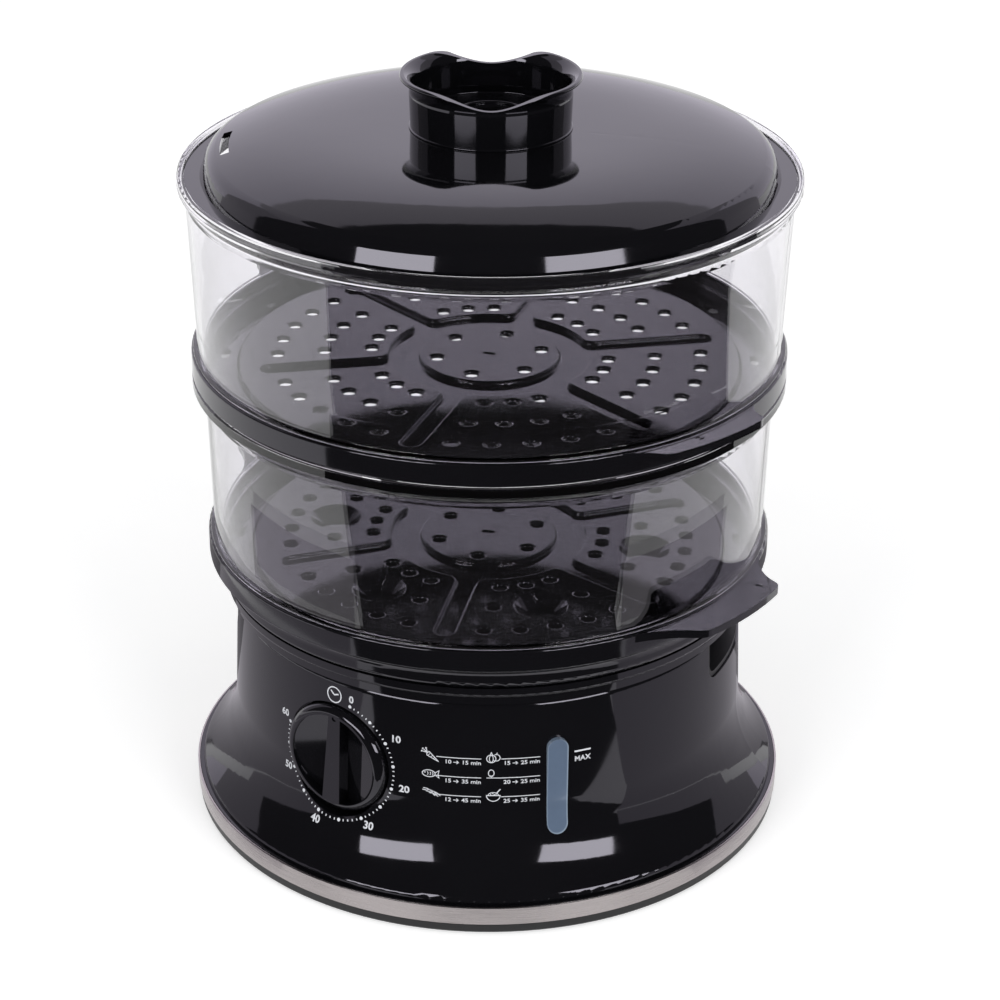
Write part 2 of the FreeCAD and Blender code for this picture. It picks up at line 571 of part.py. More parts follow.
def ears(root_r, top, azimuth):
    """Two opposite ears that rise gently outward from a bowl ring's top edge."""
    plan = moved(Part.Face(ear_outline(root_r)).extrude(Vector(0, 0, 40)), 0, 0, top - 20)
    end = EAR_TIP_R + 1
    slope = revolve((root_r - 3, top - 4.0), (root_r + 1, top - 3.9), (end, top - 1.0),
                    (end, top + EAR_RISE), (root_r - 1.5, top - 0.5), (root_r - 3, top - 0.5))
    return ring_of(plan.common(slope), 2, azimuth - 90)


def drain_slots(radius, ledge):
    """Slots in a ring's ledge that let water run back past the grid."""
    r, half = DRAIN_W / 2, (DRAIN_L - DRAIN_W) / 2
    slot = moved(stadium(DRAIN_W, DRAIN_L, ledge - 6, ledge + 1), radius, 0)
    return ring_of(slot, DRAINS, 11)


def lower_bowl_ring():
    bottom, outer, top, ledge = LOWER_RING_BOTTOM, LOWER_RING_R, LOWER_TOP, LOWER_LEDGE
    ring = revolve(
        (112.2, bottom), (113.0, bottom), ((114.1, 109.3), (114.5, 111.0)), (114.6, 113.0),
        ((115.9, 116.6), (outer - 1.1, 118.8)), ((outer - 0.3, 119.1), (outer, 119.8)),
        (outer, top - 1.1), ((outer - 0.3, top - 0.3), (outer - 1.1, top)), (118.0, top), (118.0, 121.2),
        (115.2, 121.2), (115.0, ledge), (96.6, ledge), (96.6, ledge - MOULD), (112.2, ledge - MOULD))
    ring = ring.cut(drain_slots(108.6, ledge))
    return ring.fuse(ears(outer - 0.3, top, LOWER_EAR_AZ)).removeSplitter()


def lower_bowl_wall():
    """Clear wall with a bead on the ring's edge, flaring to a rolled lip for the bowl above."""
    lip = LOWER_LIP
    return revolve(
        (115.4, 121.3), (117.6, 121.3), (117.7, LOWER_TOP + SNUG), (119.3, LOWER_TOP + SNUG),
        ((119.6, LOWER_TOP + 0.8), (119.1, LOWER_TOP + 1.3)), (117.9, LOWER_TOP + 1.6),
        (119.3, lip - 11), ((120.6, lip - 6.4), (123.8, lip - 4.8)),
        (124.6, lip - 4.1), (124.5, lip - 0.6), (123.9, lip), (122.7, lip), (122.4, lip - 1.6),
        ((119.4, lip - 4.8), (117.5, lip - 11.5)))


def upper_bowl_ring():
    skirt, seat, outer, top, ledge = 192.4, UPPER_RING_BOTTOM, UPPER_RING_R, UPPER_TOP, UPPER_LEDGE
    ring = revolve(
        (114.0, skirt), (116.2, skirt), (116.4, 195.4), ((118.0, 199.6), (121.2, seat - 0.6)),
        (122.0, seat), (outer - 0.9, seat), ((outer - 0.3, seat + 0.3), (outer, seat + 0.9)),
        (outer - 0.1, top - 1.1), ((outer - 0.4, top - 0.3), (outer - 1.2, top)), (122.3, top), (122.3, 205.6), (119.3, 205.6), (119.1, ledge),
        (99.0, ledge), (99.0, ledge - MOULD), (114.0, ledge - MOULD))
    ring = ring.cut(drain_slots(111.5, ledge))
    return ring.fuse(ears(outer - 0.4, top, UPPER_EAR_AZ)).removeSplitter()


def upper_bowl_wall():
    """Clear wall with a bead on the ring's edge, a rim bead and an inner ledge for the lid."""
    lip, seat = UPPER_LIP, LID_SEAT
    return revolve(
        (119.6, 205.7), (121.8, 205.7), (121.9, UPPER_TOP + SNUG), (123.3, UPPER_TOP + SNUG),
        ((123.6, UPPER_TOP + 0.8), (123.1, UPPER_TOP + 1.3)), (122.0, UPPER_TOP + 1.6), (122.1, 224),
        (124.1, 278), ((125.2, 282.4), (127.0, 283.8)),
        (127.3, 284.6), (126.9, lip - 0.6), (126.3, lip), (124.5, lip), (124.45, seat), (122.7, seat),
        ((122.2, 281.5), (121.9, 278)), (119.8, 224))


# ---- steaming grids -----------------------------------------------------------------------
def groove_network(z0, z1, growth, end_r):
    """Ring channel and six spokes that part the petals, with rounded inner corners."""
    ring = tube(HUB_R - growth, GROOVE_RING_R + growth, z0, z1)
    half = GROOVE_W / 2 + growth
    end = end_r + growth - half
    spoke = box(GROOVE_RING_R - 8, end, -half, half, z0, z1).fuse(cylinder(half, z0, z1, end, 0))
    net = ring.fuse(ring_of(spoke, PETALS, PETAL_STEP / 2)).removeSplitter()
    corners = [edge for edge in net.Edges if is_corner(edge, GROOVE_RING_R + growth)]
    return net.makeFillet(5.0 - growth, corners)


def is_corner(edge, radius):
    """True for an upright edge at a distance from the axis."""
    a, b = edge.Vertexes[0].Point, edge.Vertexes[-1].Point
    upright = abs(a.x - b.x) < TINY and abs(a.y - b.y) < TINY and abs(a.z - b.z) > TINY
    return upright and abs(math.hypot(a.x, a.y) - radius) < 0.2


def row(radius, count, pitch):
    """Points of one row of steam holes on an arc, centred on a petal's middle."""
    return [polar(radius, pitch * (i - (count - 1) / 2)) for i in range(count)]


def level_edges(shape, z, reach):
    """Edges of a shape that lie flat at a height and no farther from the axis than the reach."""
    def flat(edge):
        box = edge.BoundBox
        far = max(math.hypot(v.X, v.Y) for v in edge.Vertexes)
        return abs(box.ZMin - z) < TINY and abs(box.ZMax - z) < TINY and far < reach
    return [edge for edge in shape.Edges if flat(edge)]


def grid_plate(top, edge_r, groove_end):
    """Plain plate with the rounded groove network pressed into it."""
    under, edge, bed = top - GRID_SKIN, 1.2, top - GROOVE_DEPTH
    plate = revolve((0, under), (edge_r, under), (edge_r, top - edge), (edge_r - edge, top), (0, top))
    pressed = groove_network(under - GROOVE_DEPTH, under + 0.5, GRID_SKIN - 0.2, groove_end)
    groove = groove_network(bed, top + 1, 0.0, groove_end)
    groove = groove.makeFillet(GROOVE_EDGE, level_edges(groove, bed, FAR))
    return plate.fuse(pressed).cut(groove)


def rounded(plate, top, reach):
    """Round a grid's upper edges: its steam holes, then dishes and hub, then the grooves' sides."""
    def edges(wanted):
        return [edge for edge in level_edges(plate, top, reach) if wanted(edge)]
    plate = plate.makeFillet(STEAM_HOLE_EDGE, edges(lambda e: e.isClosed() and e.Curve.Radius < 3))
    plate = plate.makeFillet(GROOVE_BROW, edges(lambda e: e.isClosed() and e.Curve.Radius > 5))
    return plate.makeFillet(GROOVE_BROW, edges(
        lambda e: not e.isClosed() and math.hypot(e.CenterOfMass.x, e.CenterOfMass.y) > HUB_R))


def steam_holes(rows, top):
    """All steam holes of a grid: one petal's rows on every petal, the hub's ring and its slit."""
    below, above = top - 10, top + 5
    holes = []
    for x, y in [point for points in rows for point in points]:
        holes += ring_of(cylinder(STEAM_HOLE_R, below, above, x, y), PETALS)
    holes += ring_of(cylinder(STEAM_HOLE_R, below, above, HUB_HOLE_RING, 0), PETALS, PETAL_STEP / 2)
    slit = turned(stadium(SLIT_W, SLIT_L, below, above), 90)
    return holes + [slit]


def egg_dish(top, x, y):
    """Outside and hollow of one dished egg place."""
    foot_r, depth = DISH_R - DISH_TAPER, DISH_DEPTH
    cup = Part.makeCone(foot_r + 0.4, DISH_R + 1.8, depth + GRID_SKIN - 1.0,
                        Vector(x, y, top - depth - GRID_SKIN + 0.6))
    return cup, Part.makeCone(foot_r, DISH_R, depth, Vector(x, y, top - depth))


def lower_grid():
    top = LOWER_LEDGE + PLAY + GRID_SKIN
    plate = grid_plate(top, LOWER_GRID_R, LOWER_GROOVE_END)
    for k in range(PETALS):
        cup, hollow = egg_dish(top, *polar(DISH_RING_R, k * PETAL_STEP))
        plate = plate.fuse(cup).cut(hollow)
    rows = [row(50, 3, 12.8), row(67, 2, 33.2), row(86, 5, 9.8)]
    plate = rounded(plate.cut(steam_holes(rows, top)).removeSplitter(), top, LOWER_GRID_R - 3)
    return turned(plate, LOWER_GRID_TURN)


def upper_grid():
    top = UPPER_LEDGE + PLAY + GRID_SKIN
    plate = grid_plate(top, UPPER_GRID_R, UPPER_GROOVE_END)
    rows = [row(50, 3, 13.0), row(69.5, 4, 11.7), row(89, 5, 10.15)]
    plate = rounded(plate.cut(steam_holes(rows, top)).removeSplitter(), top, UPPER_GRID_R - 3)
    return turned(plate, UPPER_GRID_TURN)


# ---- lid ----------------------------------------------------------------------------------
def lid_places():
    """Places of the three screws that hold the lid knob."""
    return [polar(LID_SCREW_RING_R, a + LID_TURN) for a in LID_SCREW_AT]


def steam_slot():
    """Curved steam slot through the shoulder of the dome."""
    half_angle = math.degrees(STEAM_SLOT_L / 2 / STEAM_SLOT_R)
    r0, r1 = STEAM_SLOT_R - STEAM_SLOT_W / 2, STEAM_SLOT_R + STEAM_SLOT_W / 2
    face = profile((r0, 286), (r1, 286), (r1, 304), (r0, 304))
    band = face.revolve(Vector(0, 0, 0), Vector(0, 0, 1), 2 * half_angle)
    return turned(band, STEAM_SLOT_AZ - 90 - half_angle)


def dome_height(r):
    """Height of the lid's outside: flat under the knob and ever steeper toward the roll-over."""
    drop = LID_FLAT_Z - LID_BEND_Z
    return LID_FLAT_Z - drop * ((r - LID_FLAT_R) / (LID_BEND_R - LID_FLAT_R)) ** 3.4


def roll_over(radius, tilt):
    """Point of the lid's roll-over, on a circle of a radius at a tilt from upright."""
    a, start = math.radians(tilt), math.radians(20.0)
    centre_r = LID_BEND_R - LID_BEND * math.sin(start)
    centre_z = LID_BEND_Z - LID_BEND * math.cos(start)
    return centre_r + radius * math.sin(a), centre_z + radius * math.cos(a)


def lid_shell():
    """Domed lid with a drip skirt inside and a thin flange on the bowl's ledge."""
    flat, under, inner = LID_FLAT_Z, LID_FLAT_Z - MOULD, LID_BEND - MOULD
    down = (0.94, -0.342)
    steps = [LID_FLAT_R + (LID_BEND_R - LID_FLAT_R) * i / 6 for i in range(7)]
    dome = curve([(r, dome_height(r)) for r in steps], (1, 0), down)
    start_r, start_z = roll_over(inner, 20)
    lining = curve([(start_r, start_z)] + [(r - 0.3, dome_height(r) - MOULD) for r in steps[-2:0:-1]]
                   + [(LID_FLAT_R, under)], (-down[0], -down[1]), (-1, 0))
    skirt_z, skirt_r = 280.2, 119.6
    shell = revolve(
        (0, flat), (LID_FLAT_R, flat), dome, (roll_over(LID_BEND, 45), roll_over(LID_BEND, 70)),
        (LID_EDGE_R, LID_EDGE_Z), (LID_FLANGE_R, LID_EDGE_Z), (LID_FLANGE_R, LID_FLANGE_Z),
        (skirt_r + 0.2, LID_FLANGE_Z), (skirt_r, skirt_z), (skirt_r - 2.0, skirt_z),
        (skirt_r - 2.2, LID_FLANGE_Z - 0.4), (LID_EDGE_R - 2.3, LID_EDGE_Z - 0.4),
        roll_over(inner, 70), (roll_over(inner, 45), (start_r, start_z)), lining, (0, under))
    holes = [cylinder(2.0, 290, 310, x, y) for x, y in lid_places()]
    return shell.cut(holes + [steam_slot()]).removeSplitter()


def wave_cutter():
    """Block with a smooth valley underneath, that lowers the cup's rim at front and back."""
    top, w, shoulder = CUP_TOP, CUP_DIP_HALF, CUP_TOP - CUP_DIP * 0.47
    valley = curve([(-w, top), (-w * 0.52, shoulder), (0, top - CUP_DIP), (w * 0.52, shoulder), (w, top)],
                   (1, 0), (1, 0))
    face = profile((-w, top), valley, (w, top + 5), (-w, top + 5))
    return moved(face.extrude(Vector(0, 120, 0)), 0, -60)


def lid_knob():
    """Cup-shaped lid knob: near-straight wall, flared wavy rim, raised ring on its floor."""
    z0, rim, top = LID_FLAT_Z + SNUG, CUP_RIM_R, CUP_TOP
    floor, ring_top, inner = z0 + 3.4, z0 + 5.6, CUP_R - CUP_SKIN
    cup = revolve(
        (0, z0), (CUP_R, z0), (CUP_R + 0.5, top - 8.0), ((CUP_R + 1.0, top - 4.3), (rim - 0.9, top - 1.9)),
        ((rim - 0.1, top - 1.0), (rim - 0.7, top)), (rim - 1.8, top),
        ((inner + 1.6, top - 2.2), (inner + 0.5, top - 6.2)), (inner, floor + 1.2),
        ((inner - 0.4, floor + 0.3), (inner - 1.3, floor)), (25.6, floor), (25.2, ring_top - 0.9),
        ((24.9, ring_top - 0.2), (24.2, ring_top)), (15.0, ring_top),
        ((14.2, ring_top - 0.3), (13.9, ring_top - 1.0)), ((13.5, floor + 0.4), (12.6, floor)),
        (0, floor))
    cup = turned(cup.cut(wave_cutter()), LID_TURN)
    return cup.cut([cylinder(1.4, z0 - 1, z0 + 4.6, x, y) for x, y in lid_places()]).removeSplitter()


def lid_knob_screws():
    head_z, seat_z, tip_z = 299.4, LID_FLAT_Z - MOULD - 0.05, LID_FLAT_Z + 4.5
    screw = revolve(
        (0, head_z), (2.6, head_z), (3.4, head_z + 0.8), (3.4, seat_z), (1.35, seat_z), (1.35, tip_z),
        (0, tip_z))
    return Part.makeCompound([moved(screw, x, y) for x, y in lid_places()])


# Every piece, from the floor up; a node is named like the function that makes it.
PIECES = (
    base_housing, steel_trim_ring, bottom_cover, rubber_feet, bottom_screws, water_tank, heater_plate,
    heating_element, heater_terminals, heater_gasket, heater_nuts, thermostat, thermal_fuse,
    terminal_block, timer_body, timer_bell, timer_screws, timer_shaft, timer_knob, level_window,
    cord_gland, turbo_ring, drip_tray, lower_bowl_ring, lower_bowl_wall, lower_grid, upper_bowl_ring,
    upper_bowl_wall, upper_grid, lid_shell, lid_knob, lid_knob_screws)


def main():
    os.makedirs("parts", exist_ok=True)
    for make in PIECES:
        shape = make()
        name = make.__name__
        print(name, "valid" if shape.isValid() else "NOT VALID", "solids", len(shape.Solids),
              "volume %.0f" % shape.Volume)
        shape.exportStep("parts/%s.step" % name)


main()
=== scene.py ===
"""Dresses the electric food steamer: finishes, printed marks, ear numerals, studio, lamps and camera."""

import json
import math

import bmesh
import bpy
from bpy.props import FloatProperty, FloatVectorProperty, IntProperty, PointerProperty
from mathutils import Matrix, Vector
from mathutils.bvhtree import BVHTree


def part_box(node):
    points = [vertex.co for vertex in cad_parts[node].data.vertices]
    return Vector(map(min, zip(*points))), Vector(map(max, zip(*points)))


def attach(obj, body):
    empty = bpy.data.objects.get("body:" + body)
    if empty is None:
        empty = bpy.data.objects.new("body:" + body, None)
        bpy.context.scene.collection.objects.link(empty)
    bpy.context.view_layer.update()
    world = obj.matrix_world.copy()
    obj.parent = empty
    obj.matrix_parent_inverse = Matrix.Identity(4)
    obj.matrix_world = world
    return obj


bl_info = {
    "name": "Food Steamer Dresser",
    "version": (1, 0, 0),
    "blender": (4, 5, 0),
    "location": "View3D > Sidebar > Steamer",
    "description": "Finishes, printed marks and studio for the electric food steamer",
    "category": "Object",
}

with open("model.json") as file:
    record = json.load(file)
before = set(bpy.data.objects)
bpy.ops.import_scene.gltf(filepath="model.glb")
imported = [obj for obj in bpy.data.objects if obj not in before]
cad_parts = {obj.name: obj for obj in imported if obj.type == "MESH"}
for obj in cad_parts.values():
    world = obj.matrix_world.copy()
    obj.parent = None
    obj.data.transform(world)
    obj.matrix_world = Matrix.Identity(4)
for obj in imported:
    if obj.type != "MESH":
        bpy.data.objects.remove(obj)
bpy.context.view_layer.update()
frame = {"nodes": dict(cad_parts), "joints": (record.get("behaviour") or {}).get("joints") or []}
NODES = frame["nodes"]
MM = 0.001


# ---- shared helpers -------------------------------------------------------------------------
def linear(hex_colour):
    """sRGB hex to linear red, green, blue."""
    def channel(pair):
        c = int(pair, 16) / 255
        return c / 12.92 if c <= 0.04045 else ((c + 0.055) / 1.055) ** 2.4

    digits = hex_colour.lstrip("#")
    return tuple(channel(digits[i:i + 2]) for i in (0, 2, 4))


def add(tree, kind, settings=None, sockets=None):
    """Adds one shader node with its settings and with the values or links of its sockets."""
    node = tree.nodes.new("ShaderNode" + kind)
    for name, value in (settings or {}).items():
        setattr(node, name, value)
    for name, value in (sockets or {}).items():
        if isinstance(value, bpy.types.NodeSocket):
            tree.links.new(value, node.inputs[name])
        elif isinstance(value, tuple) and len(value) == 3 and node.inputs[name].type == "RGBA":
            node.inputs[name].default_value = (*value, 1.0)
        else:
            node.inputs[name].default_value = value
    return node


def new_finish(name, **shader):
    """Material with one Principled shader; the shader's own sockets hold what is the same all over."""
    material = bpy.data.materials.new(name)
    material.use_nodes = True
    tree = material.node_tree
    tree.nodes.clear()
    values = {key.replace("_", " "): value for key, value in shader.items()}
    surface = add(tree, "BsdfPrincipled", None, values)
    add(tree, "OutputMaterial", None, {"Surface": surface.outputs[0]})
    place = add(tree, "TexCoord").outputs["Object"]
    return material, tree, surface, place


def speckle(tree, place, size_mm, detail=2.0):
    """Noise whose cells are that many millimetres across."""
    return add(tree, "TexNoise", None, {
        "Vector": place, "Scale": 1 / (size_mm * MM), "Detail": detail}).outputs["Fac"]


def between(tree, fac, low, high, start=0.3, end=0.7):
    """The noise stretched between two values."""
    return add(tree, "MapRange", None, {
        "Value": fac, "From Min": start, "From Max": end, "To Min": low, "To Max": high}).outputs[0]


def shade(colour, factor, lift=0.0):
    """Colour made lighter or darker by a factor, and lifted by a little."""
    return tuple(c * factor + lift for c in colour)


def blend_colours(tree, fac, one, other):
    """Two plain colours mixed by a noise."""
    mix = add(tree, "Mix", {"data_type": "RGBA"}, {"Factor": fac})
    mix.inputs[6].default_value = (*one, 1.0)
    mix.inputs[7].default_value = (*other, 1.0)
    return mix.outputs[2]


def relief(tree, height, depth_mm):
    """Bump of that depth in millimetres."""
    return add(tree, "Bump", None, {"Height": height, "Distance": depth_mm * MM, "Strength": 1.0}).outputs[0]


def vary(tree, surface, **sockets):
    """Links what differs from place to place to the shader's own sockets."""
    for name, socket in sockets.items():
        tree.links.new(socket, surface.inputs[name.replace("_", " ")])


def dress(material, *names):
    """Gives CAD nodes their finish."""
    for name in names:
        mesh = NODES[name].data
        mesh.materials.clear()
        mesh.materials.append(material)


def piece_from(mesh, name, material):
    """Object of one material in the scene, from a finished mesh."""
    data = bpy.data.meshes.new(name)
    mesh.to_mesh(data)
    mesh.free()
    data.materials.append(material)
    piece = bpy.data.objects.new(name, data)
    bpy.context.scene.collection.objects.link(piece)
    return piece


def azimuth_of(point):
    """Turn from the front towards the right, seen from above."""
    return math.atan2(point[0], -point[1])


def out_and_side(azimuth):
    """Unit vectors away from the axis and to its right at an azimuth."""
    return Vector((math.sin(azimuth), -math.cos(azimuth), 0)), Vector((math.cos(azimuth), math.sin(azimuth), 0))


def settings():
    """Values that the panel shows and the pieces are built from."""
    return bpy.context.scene.steamer


# ---- finishes -------------------------------------------------------------------------------
WINDOW_FACE = 0.1085  # the window's outer face lies further out than this
STREAK_MM, STREAKS_PER_RADIAN = 0.3, 7.0


def polished_black_abs(name, colour, gloss, waviness_mm):
    """ABS moulded in a polished tool: deep black, near-mirror skin, faint flow waves and hand smudges."""
    material, tree, surface, place = new_finish(name, IOR=1.58, Specular_Tint=linear("#f5f1ff"))
    smudge = speckle(tree, place, size_mm=30, detail=3)
    cloud = speckle(tree, place, size_mm=45)
    wave = speckle(tree, place, size_mm=16, detail=0)
    vary(tree, surface,
         Roughness=between(tree, smudge, low=gloss, high=gloss + 0.05),
         Base_Color=blend_colours(tree, cloud, colour, shade(colour, 1.6, 0.0006)),
         Normal=relief(tree, wave, waviness_mm))
    return material


def satin_black_polypropylene(name, colour):
    """Polypropylene moulded in a spark-eroded tool: soft black with a fine grain, 0.3 mm drawn as 0.8 mm."""
    material, tree, surface, place = new_finish(name, IOR=1.49)
    grain = speckle(tree, place, size_mm=0.8)
    cloud = speckle(tree, place, size_mm=20)
    vary(tree, surface,
         Roughness=between(tree, grain, low=0.34, high=0.46),
         Base_Color=blend_colours(tree, cloud, colour, shade(colour, 1.5)),
         Normal=relief(tree, grain, depth_mm=0.02))
    return material


def clear_styrene(name, colour):
    """Styrene acrylonitrile moulded clear: colourless glassy walls with slight flow lines."""
    material, tree, surface, place = new_finish(name, IOR=1.57, Transmission_Weight=1.0)
    haze = speckle(tree, place, size_mm=25, detail=3)
    flow = speckle(tree, place, size_mm=22, detail=0)
    vary(tree, surface,
         Roughness=between(tree, haze, low=0.0, high=0.03),
         Base_Color=blend_colours(tree, haze, colour, shade(colour, 0.97)),
         Normal=relief(tree, flow, depth_mm=0.012))
    return material


def smoked_window_styrene(name, colour):
    """Tinted styrene, frosted inside: a milky slate blue, with a painted sheen of paler blue where the wall rounds
    over at its edge.
    """
    material, tree, surface, place = new_finish(name, IOR=1.57, Roughness=0.12, Coat_Weight=0.6, Coat_Roughness=0.03)
    low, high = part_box("level_window")
    split = add(tree, "SeparateXYZ", None, {0: place})
    # height above the middle, less the straight part, and the sideways reach, give the stadium's rim
    middle, half_height = (low.z + high.z) / 2, (high.z - low.z) / 2
    out, across = out_and_side(azimuth_of((low + high) / 2))
    face = [v.co for v in NODES["level_window"].data.vertices if v.co.dot(out) > WINDOW_FACE]
    half_width = max(abs(co.dot(across)) for co in face)
    side = add(tree, "VectorMath", {"operation": "DOT_PRODUCT"}, {0: place, 1: tuple(across)}).outputs["Value"]
    rise = add(tree, "Math", {"operation": "SUBTRACT"}, {0: split.outputs["Z"], 1: middle})
    rise = add(tree, "Math", {"operation": "ABSOLUTE"}, {0: rise.outputs[0]})
    rise = add(tree, "Math", {"operation": "SUBTRACT"}, {0: rise.outputs[0], 1: half_height - half_width})
    rise = add(tree, "Math", {"operation": "MAXIMUM"}, {0: rise.outputs[0], 1: 0.0})
    corner = add(tree, "CombineXYZ", None, {0: side, 1: rise.outputs[0]})
    reach = add(tree, "VectorMath", {"operation": "LENGTH"}, {0: corner.outputs[0]}).outputs["Value"]
    # painted sheen: the colour turns paler towards the window's rounded rim, standing in for light caught there
    rim_sheen_mask = between(tree, reach, low=0.0, high=1.0, start=half_width * 0.84, end=half_width * 0.97)
    cloud = between(tree, speckle(tree, place, size_mm=6), low=0.0, high=0.35)
    inner = blend_colours(tree, cloud, colour, shade(colour, 1.25))
    # the painted sheen's paler blue is mixed over the window's own colour towards the rim
    rim_sheen_mix = add(tree, "Mix", {"data_type": "RGBA"}, {"Factor": rim_sheen_mask})
    tree.links.new(inner, rim_sheen_mix.inputs[6])
    rim_sheen_mix.inputs[7].default_value = (*linear("#93a2b3"), 1.0)
    frost = speckle(tree, place, size_mm=5, detail=0)
    vary(tree, surface, Base_Color=rim_sheen_mix.outputs[2], Normal=relief(tree, frost, depth_mm=0.01))
    return material


def brushed_stainless(name, colour):
    """Stainless strip brushed along its length: streaks round the base, 0.05 mm drawn as 0.3 mm."""
    material, tree, surface, place = new_finish(name, Metallic=1.0, Anisotropic=0.9, Anisotropic_Rotation=0.25)
    split = add(tree, "SeparateXYZ", None, {0: place})
    turn = add(tree, "Math", {"operation": "ARCTAN2"}, {0: split.outputs["Y"], 1: split.outputs["X"]})
    along = add(tree, "Math", {"operation": "MULTIPLY"}, {0: turn.outputs[0], 1: STREAKS_PER_RADIAN})
    across = add(tree, "Math", {"operation": "MULTIPLY"}, {0: split.outputs["Z"], 1: 1 / (STREAK_MM * MM)})
    streak_place = add(tree, "CombineXYZ", None, {0: along.outputs[0], 1: across.outputs[0]}).outputs[0]
    streak = add(tree, "TexNoise", None, {"Vector": streak_place, "Scale": 1.0, "Detail": 3.0}).outputs["Fac"]
    vary(tree, surface,
         Roughness=between(tree, streak, low=0.2, high=0.33),
         Base_Color=blend_colours(tree, streak, colour, shade(colour, 0.72)),
         Normal=relief(tree, streak, depth_mm=0.012),
         Tangent=add(tree, "Tangent", {"direction_type": "RADIAL", "axis": "Z"}).outputs[0])
    return material


def plain_metal(name, colour, rough, grain_mm, depth_mm):
    """Cast, plated, spun or turned metal: its grain breaks the shine and dulls the hollows."""
    material, tree, surface, place = new_finish(name, Metallic=1.0)
    grain = speckle(tree, place, grain_mm, detail=4)
    vary(tree, surface,
         Roughness=between(tree, grain, low=rough - 0.07, high=rough + 0.08),
         Base_Color=blend_colours(tree, grain, colour, shade(colour, 0.75)),
         Normal=relief(tree, grain, depth_mm))
    return material


def soft_moulding(name, colour, rough, grain_mm, depth_mm):
    """Rubber, silicone or phenolic from a matt tool: dull, slightly dusty, with a fine grain."""
    material, tree, surface, place = new_finish(name, IOR=1.45)
    grain = speckle(tree, place, grain_mm, detail=3)
    dust = speckle(tree, place, size_mm=9)
    vary(tree, surface,
         Roughness=between(tree, grain, low=rough - 0.06, high=rough + 0.08),
         Base_Color=blend_colours(tree, dust, colour, shade(colour, 1.3, 0.002)),
         Normal=relief(tree, grain, depth_mm))
    return material


def screen_printed_ink(name, colour):
    """Two-part screen ink, cured matt: white with faint mesh mottle, 0.1 mm drawn as 0.4 mm."""
    material, tree, surface, place = new_finish(name, IOR=1.5)
    mottle = speckle(tree, place, size_mm=0.4)
    vary(tree, surface,
         Roughness=between(tree, mottle, low=0.35, high=0.6),
         Base_Color=blend_colours(tree, mottle, colour, shade(colour, 0.82)),
         Normal=relief(tree, mottle, depth_mm=0.01))
    return material


# ---- printed marks --------------------------------------------------------------------------
CAPITAL_SHARE = 0.70  # height of a capital as a share of the font's size
CORNERS_MEET, LONGEST_EDGE = 1e-4, 3.0  # in millimetres, before the artwork is bent to the wall
WALL_RADIUS = 111.0
OUTSIDE_WALL, INSIDE_WALL = 0.2, 0.09  # metres from the axis


